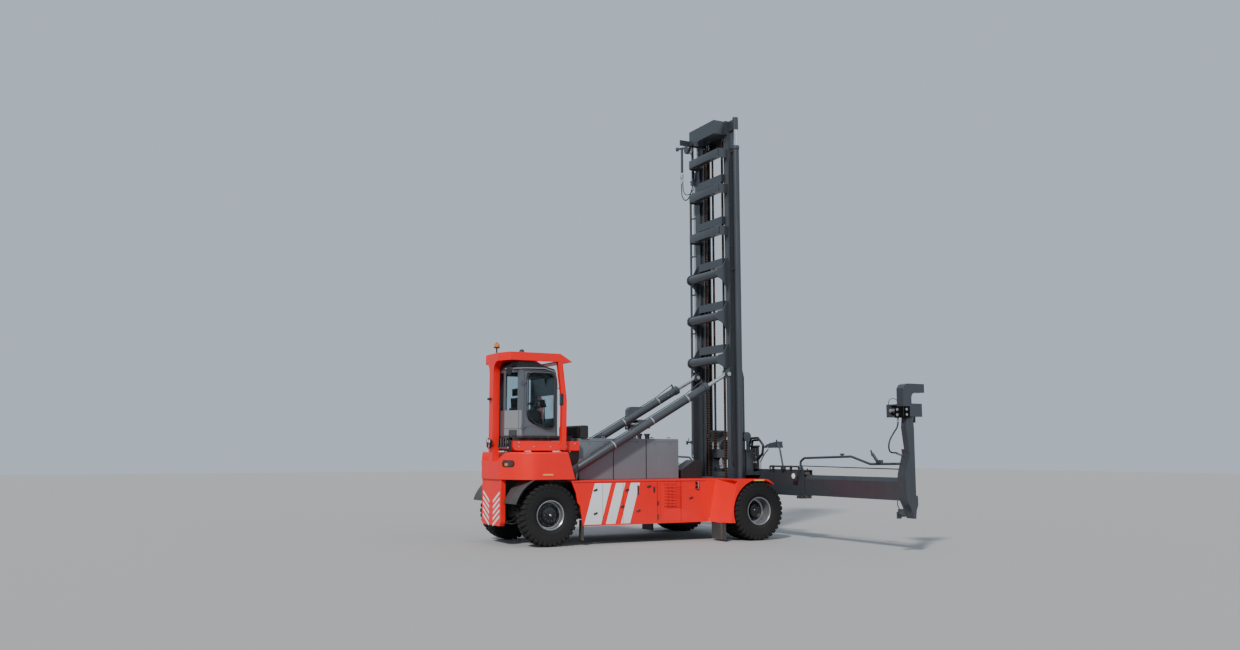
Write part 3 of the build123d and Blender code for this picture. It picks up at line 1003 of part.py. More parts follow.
# Inner mast: channels inside the outer ones, with their crossbars and sheave pins
inner_x0 = cavity_x0 + SLIDE_GAP
inner_x1 = cavity_x1 - SLIDE_GAP
inner_outer_y = UPRIGHT_OUTER_Y - UPRIGHT_WEB - SLIDE_GAP
inner_inner_y = 500
sheave_x = (CHAIN_STRAND_X + CHAIN_FRONT_X) / 2
sheave_radius = (CHAIN_FRONT_X - CHAIN_STRAND_X - CHAIN_THICKNESS) / 2
with BuildPart() as inner_mast:
    for side, sign in SIDES:
        block(inner_x0, inner_x1, sign * inner_inner_y, sign * inner_outer_y, INNER_MAST_BOTTOM_Z + 150,
              INNER_MAST_TOP_Z)
        block(inner_x0 + INNER_FLANGE, inner_x1 - INNER_FLANGE, sign * (inner_inner_y - 1),
              sign * (inner_outer_y - INNER_WEB), INNER_MAST_BOTTOM_Z, INNER_MAST_TOP_Z + 1,
                  mode=Mode.SUBTRACT)
        rod_between((sheave_x, sign * (CHAIN_Y - CHAIN_WIDTH / 2 - 25), SHEAVE_Z),
                    (sheave_x, sign * (inner_outer_y - INNER_WEB + 5), SHEAVE_Z), 30)
        rod_between((sheave_x, sign * (CHAIN_Y - CHAIN_WIDTH / 2), SHEAVE_Z),
                    (sheave_x, sign * (CHAIN_Y + CHAIN_WIDTH / 2), SHEAVE_Z), sheave_radius - 1)
    for level in INNER_BAR_LEVELS:
        block(INNER_BAR_REAR_X, inner_x0 + 5, -INNER_HALF_WIDTH, INNER_HALF_WIDTH,
              level - INNER_BAR_HEIGHT / 2, level + INNER_BAR_HEIGHT / 2)
save(inner_mast.part, "inner_mast")

# Header box with the ears that sit on the lift rods
with BuildPart() as mast_header:
    header_front_x = INNER_BAR_REAR_X + 70
    block(HEADER_REAR_X, header_front_x, -HEADER_HALF_WIDTH, HEADER_HALF_WIDTH, INNER_MAST_TOP_Z,
          HEADER_TOP_Z)
    for side, sign in SIDES:
        block(header_front_x, inner_x1, sign * 440, sign * (HEADER_HALF_WIDTH + 70), INNER_MAST_TOP_Z,
              HEADER_TOP_Z)
        block(LIFT_CYLINDER_X - 45, LIFT_CYLINDER_X + 45, sign * HEADER_HALF_WIDTH, sign * EAR_OUTER_Y,
              EAR_BOTTOM_Z, HEADER_TOP_Z)
        rod_between((LIFT_CYLINDER_X, sign * LIFT_CYLINDER_Y, EAR_BOTTOM_Z),
                    (LIFT_CYLINDER_X, sign * LIFT_CYLINDER_Y, EAR_TOP_Z), EAR_RADIUS)
    # Far side bracket that guides the hoses
    block(FRONT_AXLE_X - 470, header_front_x, HEADER_HALF_WIDTH + 40, HEADER_HALF_WIDTH + 70,
          INNER_MAST_TOP_Z - 20, INNER_MAST_TOP_Z + 130)
save(mast_header.part, "mast_header")

with BuildPart() as lift_rods:
    for side, sign in SIDES:
        rod_between((LIFT_CYLINDER_X, sign * LIFT_CYLINDER_Y, 1000),
                    (LIFT_CYLINDER_X, sign * LIFT_CYLINDER_Y, EAR_BOTTOM_Z), LIFT_ROD_RADIUS)
save(lift_rods.part, "lift_rods")

# Chains on the inner mast: over the sheaves, down the front and down the rear
with BuildPart() as inner_chains:
    for side, sign in SIDES:
        near_y = sign * (CHAIN_Y - CHAIN_WIDTH / 2)
        far_y = sign * (CHAIN_Y + CHAIN_WIDTH / 2)
        rod_between((sheave_x, near_y, SHEAVE_Z), (sheave_x, far_y, SHEAVE_Z),
                    sheave_radius + CHAIN_THICKNESS)
        rod_between((sheave_x, near_y, SHEAVE_Z), (sheave_x, far_y, SHEAVE_Z), sheave_radius,
                    mode=Mode.SUBTRACT)
        block(sheave_x - 200, sheave_x + 200, near_y, far_y, SHEAVE_Z - 300, SHEAVE_Z, mode=Mode.SUBTRACT)
        block(CHAIN_FRONT_X - CHAIN_THICKNESS / 2, CHAIN_FRONT_X + CHAIN_THICKNESS / 2, near_y, far_y, 2000,
              SHEAVE_Z)
        block(CHAIN_STRAND_X - CHAIN_THICKNESS / 2, CHAIN_STRAND_X + CHAIN_THICKNESS / 2,
              sign * CHAIN_Y, far_y, 1250, SHEAVE_Z)
        block(CHAIN_STRAND_X - CHAIN_THICKNESS / 2, CHAIN_STRAND_X + CHAIN_THICKNESS / 2,
              near_y, far_y, OUTER_MAST_TOP_Z + 150, SHEAVE_Z)
save(inner_chains.part, "inner_chains")

# Tilt cylinders: barrel from the base pin, and rod with its eye at the mast's lugs
tilt_run = TILT_EYE_X - TILT_BASE_X
tilt_rise = TILT_EYE_Z - TILT_BASE_Z
tilt_length = math.hypot(tilt_run, tilt_rise)
tilt_dx = tilt_run / tilt_length
tilt_dz = tilt_rise / tilt_length


def tilt_point(distance, y):
    """A point along the tilt cylinder's centre line."""
    return (TILT_BASE_X + tilt_dx * distance, y, TILT_BASE_Z + tilt_dz * distance)


for side, sign in SIDES:
    tilt_y = sign * TILT_Y
    inner_eye = tilt_y - TILT_EYE_WIDTH / 2
    outer_eye = tilt_y + TILT_EYE_WIDTH / 2
    with BuildPart() as tilt_barrel:
        rod_between(tilt_point(60, tilt_y), tilt_point(TILT_BARREL_LENGTH, tilt_y), TILT_BARREL_RADIUS)
        rod_between(tilt_point(TILT_BARREL_LENGTH - 120, tilt_y), tilt_point(TILT_BARREL_LENGTH, tilt_y),
                    TILT_BARREL_RADIUS + 16)
        block(TILT_BASE_X - 130, TILT_BASE_X + 170, tilt_y - 130, inner_eye, 1400, 1900, mode=Mode.SUBTRACT)
        block(TILT_BASE_X - 130, TILT_BASE_X + 170, outer_eye, tilt_y + 130, 1400, 1900, mode=Mode.SUBTRACT)
        rod_between((TILT_BASE_X, inner_eye, TILT_BASE_Z), (TILT_BASE_X, outer_eye, TILT_BASE_Z),
                    TILT_EYE_RADIUS)
        rod_between((TILT_BASE_X, inner_eye, TILT_BASE_Z), (TILT_BASE_X, outer_eye, TILT_BASE_Z),
                    TILT_PIN_RADIUS + RUNNING_GAP, mode=Mode.SUBTRACT)
        rod_between(tilt_point(400, tilt_y), tilt_point(TILT_BARREL_LENGTH + 10, tilt_y),
                    TILT_ROD_RADIUS + RUNNING_GAP, mode=Mode.SUBTRACT)
    save(tilt_barrel.part, f"tilt_barrel_{side}")

    with BuildPart() as tilt_rod:
        rod_between(tilt_point(700, tilt_y), tilt_point(tilt_length - 60, tilt_y), TILT_ROD_RADIUS)
        rod_between((TILT_EYE_X, inner_eye, TILT_EYE_Z), (TILT_EYE_X, outer_eye, TILT_EYE_Z),
                    TILT_EYE_RADIUS)
        rod_between((TILT_EYE_X, inner_eye, TILT_EYE_Z), (TILT_EYE_X, outer_eye, TILT_EYE_Z),
                    TILT_PIN_RADIUS + 8, mode=Mode.SUBTRACT)
    save(tilt_rod.part, f"tilt_rod_{side}")

# Carriage: side plates with rollers in the inner channels, and the front beams with a slide rail
CROSS_PLATE_X = FRONT_AXLE_X + 290
HOSE_DISC_X = FRONT_AXLE_X + 505
HOSE_DISC_Z = 2460
HOSE_DISC_RADIUS = 115
RAIL_LEVELS = (1160, 1500)
RAIL_HEIGHT = 90
with BuildPart() as carriage:
    roller_radius = (inner_x1 - inner_x0) / 2 - INNER_FLANGE - ROLLING_GAP
    for side, sign in SIDES:
        block(FRONT_AXLE_X + 215, CARRIAGE_FACE_X, sign * CARRIAGE_PLATE_Y,
              sign * (CARRIAGE_PLATE_Y + CARRIAGE_PLATE),
              CARRIAGE_BOTTOM_Z, CARRIAGE_TOP_Z)
        for roller_z in (CARRIAGE_BOTTOM_Z + 160, CARRIAGE_TOP_Z - 160):
            rod_between(((inner_x0 + inner_x1) / 2, sign * CARRIAGE_PLATE_Y, roller_z),
                        ((inner_x0 + inner_x1) / 2, sign * (inner_outer_y - INNER_WEB - 10), roller_z),
                            roller_radius)
        block(FRONT_AXLE_X + 490, CARRIAGE_FACE_X, sign * CARRIAGE_PLATE_Y, sign * 850, 1500, 1720)
        block(FRONT_AXLE_X + 490, CARRIAGE_FACE_X, sign * CARRIAGE_PLATE_Y, sign * 850, 1940, 2140)
        block(FRONT_AXLE_X + 490, CARRIAGE_FACE_X, sign * 780, sign * 850, 1500, 2140)
    block(FRONT_AXLE_X + 430, FRONT_AXLE_X + 620, -CARRIAGE_PLATE_Y, CARRIAGE_PLATE_Y, 1880, 2080)
    # Rear cross plate with one wide opening, seen between the uprights
    block(CROSS_PLATE_X, CROSS_PLATE_X + 40, -CARRIAGE_PLATE_Y, CARRIAGE_PLATE_Y, 1450, 2150)
    block(CROSS_PLATE_X - 1, CROSS_PLATE_X + 41, -370, 370, 1575, 1930, mode=Mode.SUBTRACT)
    # Hose disc outside the near upright, on a bracket from the beam
    rod_between((HOSE_DISC_X, -880, HOSE_DISC_Z), (HOSE_DISC_X, -830, HOSE_DISC_Z), HOSE_DISC_RADIUS)
    block(FRONT_AXLE_X + 500, FRONT_AXLE_X + 560, -880, -830, 2100, HOSE_DISC_Z)
    block(FRONT_AXLE_X + 430, CARRIAGE_FACE_X, -CARRIAGE_PLATE_Y, CARRIAGE_PLATE_Y, 1500, 1680)
    block(FRONT_AXLE_X + 430, FRONT_AXLE_X + 620, -CARRIAGE_PLATE_Y, CARRIAGE_PLATE_Y, 2460, 2600)
    # Slide rail behind the spreader's housing
    for rail_z in RAIL_LEVELS:
        block(CARRIAGE_FACE_X - 20, SPREADER_REAR_X - 12, -1000, 1000, rail_z, rail_z + RAIL_HEIGHT)
    for sign in (-1, 1):
        block(CARRIAGE_FACE_X - 100, CARRIAGE_FACE_X, sign * CARRIAGE_PLATE_Y,
              sign * (CARRIAGE_PLATE_Y + 80),
              CARRIAGE_BOTTOM_Z, 1600)
save(carriage.part, "carriage")

# Spreader housing: hollow beam open at both ends, hooked over the carriage's rails
with BuildPart() as spreader_housing:
    block(SPREADER_REAR_X, SPREADER_FRONT_X, -HOUSING_HALF_LENGTH, HOUSING_HALF_LENGTH, HOUSING_BOTTOM_Z,
          HOUSING_TOP_Z)
    block(SPREADER_REAR_X + HOUSING_WALL, SPREADER_FRONT_X - HOUSING_WALL, -HOUSING_HALF_LENGTH - 1,
          HOUSING_HALF_LENGTH + 1, HOUSING_BOTTOM_Z + HOUSING_WALL, HOUSING_TOP_Z - HOUSING_WALL,
              mode=Mode.SUBTRACT)
    for hook_y in (-300, 300):
        hook_z = RAIL_LEVELS[1] + RAIL_HEIGHT + ROLLING_GAP
        block(CARRIAGE_FACE_X + 10, SPREADER_REAR_X, hook_y - 60, hook_y + 60, hook_z, hook_z + 60)
        block(CARRIAGE_FACE_X + 10, SPREADER_REAR_X, hook_y - 60, hook_y + 60, RAIL_LEVELS[0] - 70,
              RAIL_LEVELS[0] - 10)
save(spreader_housing.part, "spreader_housing")

# Telescopic beams run side by side in the housing; each carries an end arm and its lock head
ARM_REAR_EDGE = (
    # distance ahead of the drive axle, height, from the top down
    (880, HEAD_BOTTOM_Z), (855, 2569), (880, 2392), (930, 2026), (880, 1873), (795, 1615), (779, 1440),
    (808, 1103), (920, 898), (979, 743), (1010, 700),
)
ARM_FRONT_EDGE = (
    (1045, 700), (1064, 855), (1114, 980), (1114, 1156), (1065, 1185), (1070, 2570), (1050, HEAD_BOTTOM_Z),
)
ARM_COLUMN_Y = 5940
ARM_STEP_Z = 2130
HEAD_REAR_X = FRONT_AXLE_X + 930
HEAD_FRONT_X = FRONT_AXLE_X + 1285
NECK_INNER_Y = 5930
LOCK_PIN_AHEAD = 1190
GOOSENECK = (
    # distance ahead of the drive axle, height
    (770, HEAD_BOTTOM_Z), (1000, HEAD_BOTTOM_Z), (1000, 3200), (1025, 3265), (1080, 3300), (1365, 3305),
    (1365, 3490), (900, 3490), (830, 3465), (775, 3390),
)
for side, sign in SIDES:
    beam_x = SPREADER_REAR_X + 25 if sign < 0 else SPREADER_FRONT_X - 25 - BEAM_DEPTH
    start_y = sign * BEAM_INNER_END if sign < 0 else ARM_INNER_Y
    with BuildPart() as telescopic_beam:
        prism(side_plane(start_y), [
            (beam_x, BEAM_BOTTOM_Z), (beam_x + BEAM_DEPTH, BEAM_BOTTOM_Z),
                (beam_x + BEAM_DEPTH, BEAM_SHOULDER_Z),
            (beam_x + BEAM_DEPTH - 20, BEAM_TOP_Z), (beam_x + 30, BEAM_TOP_Z), (beam_x, BEAM_SHOULDER_Z),
        ], ARM_INNER_Y - BEAM_INNER_END)
    save(telescopic_beam.part, f"telescopic_beam_{side}")

    arm_y = sign * ARM_INNER_Y if sign < 0 else ARM_OUTER_Y
    with BuildPart() as end_arm:
        prism(side_plane(arm_y), [(FRONT_AXLE_X + x, z) for x, z in (*ARM_REAR_EDGE, *ARM_FRONT_EDGE)],
              ARM_OUTER_Y - ARM_INNER_Y)
        block(FRONT_AXLE_X + 500, FRONT_AXLE_X + 1200, sign * (ARM_INNER_Y - 10), sign * ARM_COLUMN_Y,
              ARM_STEP_Z, HEAD_BOTTOM_Z + 10, mode=Mode.SUBTRACT)
    save(end_arm.part, f"end_arm_{side}")

    with BuildPart() as lock_head:
        block(HEAD_REAR_X, HEAD_FRONT_X, sign * HEAD_INNER_Y, sign * HEAD_OUTER_Y, HEAD_BOTTOM_Z,
              HEAD_TOP_Z)
        block(HEAD_REAR_X - 1, HEAD_REAR_X + 120, sign * (HEAD_INNER_Y + 140), sign * (HEAD_OUTER_Y - 25),
              HEAD_BOTTOM_Z + 35, HEAD_TOP_Z - 30, mode=Mode.SUBTRACT)
        for link_z in (HEAD_BOTTOM_Z + 95, HEAD_TOP_Z - 95):
            rod_between((HEAD_REAR_X + 60, sign * (HEAD_INNER_Y + 130), link_z),
                        (HEAD_REAR_X + 60, sign * (HEAD_OUTER_Y - 20), link_z), 26)
        head_y = sign * NECK_INNER_Y if sign < 0 else HEAD_OUTER_Y
        prism(side_plane(head_y), [(FRONT_AXLE_X + x, z) for x, z in GOOSENECK],
              HEAD_OUTER_Y - NECK_INNER_Y)
        rod_between((FRONT_AXLE_X + LOCK_PIN_AHEAD, sign * LOCK_Y, HEAD_BOTTOM_Z - LOCK_PIN_LENGTH),
                    (FRONT_AXLE_X + LOCK_PIN_AHEAD, sign * LOCK_Y, HEAD_BOTTOM_Z), LOCK_PIN_RADIUS)
    save(lock_head.part, f"lock_head_{side}")
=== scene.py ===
import json
import math

import bmesh
import bpy
from mathutils import Matrix, Vector


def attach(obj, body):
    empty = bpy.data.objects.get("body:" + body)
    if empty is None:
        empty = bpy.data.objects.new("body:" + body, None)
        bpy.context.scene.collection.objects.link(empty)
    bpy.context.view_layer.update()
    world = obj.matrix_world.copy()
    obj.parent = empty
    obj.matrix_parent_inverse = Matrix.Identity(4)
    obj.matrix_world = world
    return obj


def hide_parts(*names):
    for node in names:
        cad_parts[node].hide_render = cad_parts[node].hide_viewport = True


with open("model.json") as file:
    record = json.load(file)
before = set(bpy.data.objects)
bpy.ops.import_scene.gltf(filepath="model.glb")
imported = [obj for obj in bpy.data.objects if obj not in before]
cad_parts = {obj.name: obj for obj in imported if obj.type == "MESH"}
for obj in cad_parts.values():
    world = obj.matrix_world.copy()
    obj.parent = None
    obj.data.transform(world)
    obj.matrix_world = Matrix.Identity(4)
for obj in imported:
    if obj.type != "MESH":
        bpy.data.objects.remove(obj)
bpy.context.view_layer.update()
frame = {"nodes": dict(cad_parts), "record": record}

# Camera at the photograph's place: near the ground, behind the machine's right side and
# looking slightly up. Its lens takes in the whole mast and the spreader's near end.
front_axle_x = 2.36
rear_axle_x = -2.705
axle_z = 0.687
photo_width = 1240
focal_pixels = 1012.365
sensor_width = 36
camera_yaw = 0.486
camera_pitch = 0.126
camera_place = (front_axle_x - 14.269, -22.001, 2.043)
camera_data = bpy.data.cameras.new("yard_camera")
camera_data.sensor_width = sensor_width
camera_data.lens = sensor_width * focal_pixels / photo_width
camera = bpy.data.objects.new("yard_camera", camera_data)
bpy.context.scene.collection.objects.link(camera)
forward = Vector((math.sin(camera_yaw) * math.cos(camera_pitch),
    math.cos(camera_yaw) * math.cos(camera_pitch), math.sin(camera_pitch)))
camera.matrix_world = (Matrix.Translation(camera_place)
    @ forward.to_track_quat("-Z", "Y").to_matrix().to_4x4())
bpy.context.scene.camera = camera


def plain_finish(name, sockets):
    """A material with fixed values on its shader's sockets."""
    finish = bpy.data.materials.new(name)
    finish.use_nodes = True
    for label, value in sockets.items():
        finish.node_tree.nodes["Principled BSDF"].inputs[label].default_value = value
    return finish


def hang_sun(name, energy, turn, softness, colour):
    sun = bpy.data.lights.new(name, "SUN")
    sun.energy = energy
    sun.angle = softness
    sun.color = colour
    sun_object = bpy.data.objects.new(name, sun)
    sun_object.rotation_euler = [math.radians(angle) for angle in turn]
    bpy.context.scene.collection.objects.link(sun_object)


floor_bm = bmesh.new()
bmesh.ops.create_grid(floor_bm, x_segments=2, y_segments=2, size=90)
floor_mesh = bpy.data.meshes.new("studio_floor")
floor_bm.to_mesh(floor_mesh)
floor_bm.free()
floor = bpy.data.objects.new("studio_floor", floor_mesh)
bpy.context.scene.collection.objects.link(floor)
floor_mesh.materials.append(plain_finish("pale_floor",
    {"Base Color": (0.36, 0.355, 0.355, 1), "Roughness": 0.85}))
sky = bpy.data.worlds.new("studio_sky")
bpy.context.scene.world = sky
sky.use_nodes = True
sky.node_tree.nodes["Background"].inputs["Color"].default_value = (0.74, 0.86, 1, 1)
sky.node_tree.nodes["Background"].inputs["Strength"].default_value = 0.66
hang_sun("main_sun", 3.7, (50, 0, -50), 0.1, (1, 0.96, 0.9))
hang_sun("side_fill", 0.35, (65, 0, 25), 0.9, (0.9, 0.95, 1))

# Red body: deck, side panels, hood, counterweight, fenders, cab platform and overhead guard.
# Pressed and welded sheet steel, sprayed red over primer and bolted to the frame.
body_of_node = {node: body for body, nodes in frame["record"]["behaviour"]["bodies"].items()
    for node in nodes}
weld_distance = 0.00005
# Each piece is shaped in this one mesh, and piece_from empties it for the next
work = bmesh.new()


def start_group(name, inputs, outputs):
    """An empty node group with named number inputs and named number outputs."""
    group = bpy.data.node_groups.new(name, "ShaderNodeTree")
    for label, value in inputs:
        group.interface.new_socket(label, in_out="INPUT",
            socket_type="NodeSocketFloat").default_value = value
    for label in outputs:
        group.interface.new_socket(label, in_out="OUTPUT", socket_type="NodeSocketFloat")
    return group, group.nodes.new("NodeGroupInput").outputs, group.nodes.new("NodeGroupOutput").inputs


def feed(tree, value, socket):
    if hasattr(value, "is_output"):
        tree.links.new(value, socket)
    else:
        socket.default_value = value


def math_node(tree, operation, first, second=0, clamp=False):
    node = tree.nodes.new("ShaderNodeMath")
    node.operation = operation
    node.use_clamp = clamp
    feed(tree, first, node.inputs[0])
    feed(tree, second, node.inputs[1])
    return node.outputs[0]


def colour_mix(tree, factor, first, second):
    node = tree.nodes.new("ShaderNodeMix")
    node.data_type = "RGBA"
    for label, value in (("Factor", factor), ("A", first), ("B", second)):
        feed(tree, value, node.inputs[label])
    return node.outputs["Result"]


def noise_node(tree, vector, scale, detail=4, stretch=None):
    if stretch:
        mapping = tree.nodes.new("ShaderNodeMapping")
        mapping.inputs["Scale"].default_value = stretch
        tree.links.new(vector, mapping.inputs["Vector"])
        vector = mapping.outputs["Vector"]
    noise = tree.nodes.new("ShaderNodeTexNoise")
    noise.inputs["Detail"].default_value = detail
    tree.links.new(vector, noise.inputs["Vector"])
    feed(tree, scale, noise.inputs["Scale"])
    return noise.outputs["Fac"]


def bump_node(tree, height, strength, distance):
    node = tree.nodes.new("ShaderNodeBump")
    node.inputs["Strength"].default_value = strength
    node.inputs["Distance"].default_value = distance
    tree.links.new(height, node.inputs["Height"])
    return node


def object_place(tree):
    return tree.nodes.new("ShaderNodeTexCoord").outputs["Object"]


def height_of(tree, vector):
    axes = tree.nodes.new("ShaderNodeSeparateXYZ")
    tree.links.new(vector, axes.inputs[0])
    return axes.outputs["Z"]


# Mottle: a slow light and dark drift, and the fine orange peel of a sprayed film
mottle, mottle_in, mottle_out = start_group("paint_mottle", [("Drift Scale", 1.4), ("Peel Scale", 260)],
    ["Drift", "Peel"])
mottle_place = object_place(mottle)
mottle.links.new(noise_node(mottle, mottle_place, mottle_in["Drift Scale"]), mottle_out["Drift"])
mottle.links.new(noise_node(mottle, mottle_place, mottle_in["Peel Scale"], 1), mottle_out["Peel"])

# Dust: settles on upward faces and is thrown up from the ground, with faint run marks; on the mast the
# upward-face part also lays painted sky reflection
dust, dust_in, dust_out = start_group("yard_dust_and_sheen",
    [("Reach", 0.9), ("Ground", 0.5), ("Ledge", 0.35), ("Streak", 0.25)], ["Mask"])
dust_place = object_place(dust)
dust_face = dust.nodes.new("ShaderNodeNewGeometry").outputs["Normal"]
dust_cloud = noise_node(dust, dust_place, 5, 8)
dust_runs = noise_node(dust, dust_place, 9, 5, (1, 1, 0.06))
dust_low = math_node(dust, "SUBTRACT", 1, math_node(dust, "DIVIDE", height_of(dust, dust_place),
    dust_in["Reach"]), True)
dust_low = math_node(dust, "MULTIPLY", math_node(dust, "MULTIPLY", dust_low, dust_in["Ground"]),
    math_node(dust, "ADD", dust_cloud, 0.45))
# Upward faces: settled dust, and on the mast also painted sky reflection
top_dust_and_sheen = math_node(dust, "MULTIPLY", math_node(dust, "SUBTRACT", height_of(dust, dust_face), 0.35,
    True), math_node(dust, "MULTIPLY", dust_in["Ledge"], math_node(dust, "ADD", dust_cloud, 0.5)))
dust_run = math_node(dust, "MULTIPLY", math_node(dust, "SUBTRACT", dust_runs, 0.52, True),
    math_node(dust, "MULTIPLY", dust_in["Streak"], 3))
dust.links.new(math_node(dust, "ADD", math_node(dust, "ADD", dust_low, top_dust_and_sheen), dust_run, True),
    dust_out["Mask"])


def finish_of(name, colour, roughness=0.42, metallic=0, coat=0, drift=0.18, peel=0.0005, ground=0.5,
        ledge=0.3, streak=0.2, reach=0.9, dust_and_sheen_colour=(0.3, 0.285, 0.26), drift_scale=1.4, peel_scale=260,
        specular=0.5):
    """A sprayed, moulded or plated finish: base colour, mottling, dust that on the mast also lays painted
    sky reflection, and a fine surface.
    """
    finish = plain_finish(name, {"Metallic": metallic, "Coat Weight": coat,
        "Specular IOR Level": specular})
    tree = finish.node_tree
    shader = tree.nodes["Principled BSDF"]
    film = tree.nodes.new("ShaderNodeGroup")
    film.node_tree = mottle
    dust_and_sheen_layer = tree.nodes.new("ShaderNodeGroup")
    dust_and_sheen_layer.node_tree = dust
    for layer, label, value in ((film, "Drift Scale", drift_scale), (film, "Peel Scale", peel_scale),
            (dust_and_sheen_layer, "Reach", reach), (dust_and_sheen_layer, "Ground", ground), (dust_and_sheen_layer, "Ledge", ledge),
            (dust_and_sheen_layer, "Streak", streak)):
        layer.inputs[label].default_value = value
    drifted = film.outputs["Drift"]
    mask = dust_and_sheen_layer.outputs["Mask"]
    tone = colour_mix(tree, drifted, (*[channel * (1 - drift) for channel in colour], 1),
        (*[min(1, channel * (1 + drift)) for channel in colour], 1))
    # Lays the dust colour where the mask is; the mast's bluish grey is dust and painted sky reflection
    # together
    tree.links.new(colour_mix(tree, mask, tone, (*dust_and_sheen_colour, 1)), shader.inputs["Base Color"])
    wander = math_node(tree, "ADD", math_node(tree, "MULTIPLY", drifted, 0.12), roughness - 0.06)
    tree.links.new(math_node(tree, "ADD", math_node(tree, "MULTIPLY", mask, 0.4), wander, True),
        shader.inputs["Roughness"])
    bump = bump_node(tree, film.outputs["Peel"], 0.35, peel)
    tree.links.new(bump.outputs["Normal"], shader.inputs["Normal"])
    return finish


def add_relief(finish, height, strength, distance):
    """A coarser relief beneath a finish's own fine surface."""
    tree = finish.node_tree
    grain = next(node for node in tree.nodes if node.bl_idname == "ShaderNodeBump")
    tree.links.new(bump_node(tree, height, strength, distance).outputs["Normal"], grain.inputs["Normal"])


def piece_from(name, finish, body="chassis", stands_for=None, crease=32, edge=0, hand=1):
    """Make the work mesh a finished piece: welded, faced outwards, painted and fixed to its body.
    With a hand of -1, a piece drawn on the left is turned over to the right."""
    bmesh.ops.scale(work, vec=(1, hand, 1), verts=work.verts)
    bmesh.ops.remove_doubles(work, verts=work.verts, dist=weld_distance)
    bmesh.ops.recalc_face_normals(work, faces=work.faces)
    mesh = bpy.data.meshes.new(name)
    work.to_mesh(mesh)
    work.clear()
    for polygon in mesh.polygons:
        polygon.use_smooth = True
    mesh.set_sharp_from_angle(angle=math.radians(crease))
    mesh.materials.append(finish)
    made = bpy.data.objects.new(name, mesh)
    bpy.context.scene.collection.objects.link(made)
    if edge:
        rounding = made.modifiers.new("edge", "BEVEL")
        rounding.width = edge
        rounding.segments = 2
        rounding.limit_method = "ANGLE"
        rounding.angle_limit = math.radians(crease)
        rounding.harden_normals = True
    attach(made, body)
    if stands_for:
        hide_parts(stands_for)
    return made


def dress(finish, edge, *nodes):
    """Smooth, edge-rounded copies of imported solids: triangles merged, flat faces whole."""
    for node in nodes:
        work.from_mesh(frame["nodes"][node].data)
        bmesh.ops.remove_doubles(work, verts=work.verts, dist=weld_distance)
        bmesh.ops.dissolve_limit(work, angle_limit=math.radians(0.6), verts=work.verts, edges=work.edges)
        piece_from(f"{node}_skin", finish, body_of_node[node], stands_for=node, edge=edge)


def block(low, high):
    """A box between two corners; its vertices are returned for shaping."""
    corners = bmesh.ops.create_cube(work, size=1)["verts"]
    bmesh.ops.scale(work, vec=[b - a for a, b in zip(low, high)], verts=corners)
    bmesh.ops.translate(work, vec=[(a + b) / 2 for a, b in zip(low, high)], verts=corners)
    return corners


def round_bar(start, end, radius, sides=16, end_radius=None):
    """A round bar or cone from one point to another."""
    start = Vector(start)
    run = Vector(end) - start
    place = Matrix.Translation(start + run / 2) @ run.to_track_quat("Z", "Y").to_matrix().to_4x4()
    bmesh.ops.create_cone(work, cap_ends=True, segments=sides, radius1=radius, depth=run.length,
        radius2=radius if end_radius is None else end_radius, matrix=place)


def upright(x, y, foot, head, radius, sides=16):
    """A round bar that stands upright."""
    round_bar((x, y, foot), (x, y, head), radius, sides)


def flat_plate(corners, thickness):
    """A plate from its corner points, thickened along its own normal."""
    face = work.faces.new([work.verts.new(corner) for corner in corners])
    face.normal_update()
    raised = bmesh.ops.extrude_face_region(work, geom=[face])["geom"]
    bmesh.ops.translate(work, vec=face.normal * thickness,
        verts=[part for part in raised if isinstance(part, bmesh.types.BMVert)])


def tip(verts, about, angle):
    """Tip vertices about a crossways line through a point."""
    bmesh.ops.rotate(work, cent=about, matrix=Matrix.Rotation(angle, 3, "Y"), verts=verts)


def mirror_across():
    """Copy everything so far to the machine's other side."""
    bmesh.ops.mirror(work, geom=work.verts[:] + work.edges[:] + work.faces[:], matrix=Matrix.Identity(4),
        merge_dist=-1, axis="Y")


red_paint = finish_of("red_paint", (0.78, 0.005, 0.003), 0.44, coat=0.04, ground=0.06,
    ledge=0.03, streak=0.02, drift=0.1, specular=0.3)
dress(red_paint, 0.006, "side_panels", "deck", "hood", "counterweight", "front_fenders", "cab_platform",
    "guard_roof", "guard_posts")

# Louvred vents in the side panels: three columns of hoods pressed out of the same red sheet,
# each over a slot that lets cooling air through; the slots are black strips, painted shade for the
# openings
panel_y = 1.35
louvre_rows = 15
louvre_pitch = 0.034


def side_plate(rear, low, front, high, stand):
    """A plate on the right-hand side panel, standing off it by stand."""
    return block((rear, -panel_y - stand, low), (front, -panel_y, high))


for column in range(3):
    for row in range(louvre_rows):
        rear = 0.172 + column * 0.108
        foot = 0.812 + row * louvre_pitch
        for corner in side_plate(rear, foot + 0.006, rear + 0.092, foot + 0.024, 0.01):
            if corner.co.z > foot + 0.015:
                corner.co.y = -panel_y
mirror_across()
piece_from("side_louvres", red_paint)

# Shut lines, slots and paddle latches: rubber-sealed gaps round the hinged panels, with
# flush black latches that close them. The slots are black strips, painted shade for the openings
black_trim = finish_of("black_trim", (0.01, 0.01, 0.011), 0.55, peel_scale=900,
    ground=0.2)
for line_x in (-1.44, -0.92, -0.02, 0.62):
    side_plate(line_x - 0.004, 0.45, line_x + 0.004, 1.385, 0.0015)
side_plate(-2.18, 1.385, 1.3, 1.394, 0.0015)
for line_z in (0.8, 1.322):
    side_plate(0.16, line_z, 0.505, line_z + 0.006, 0.0025)
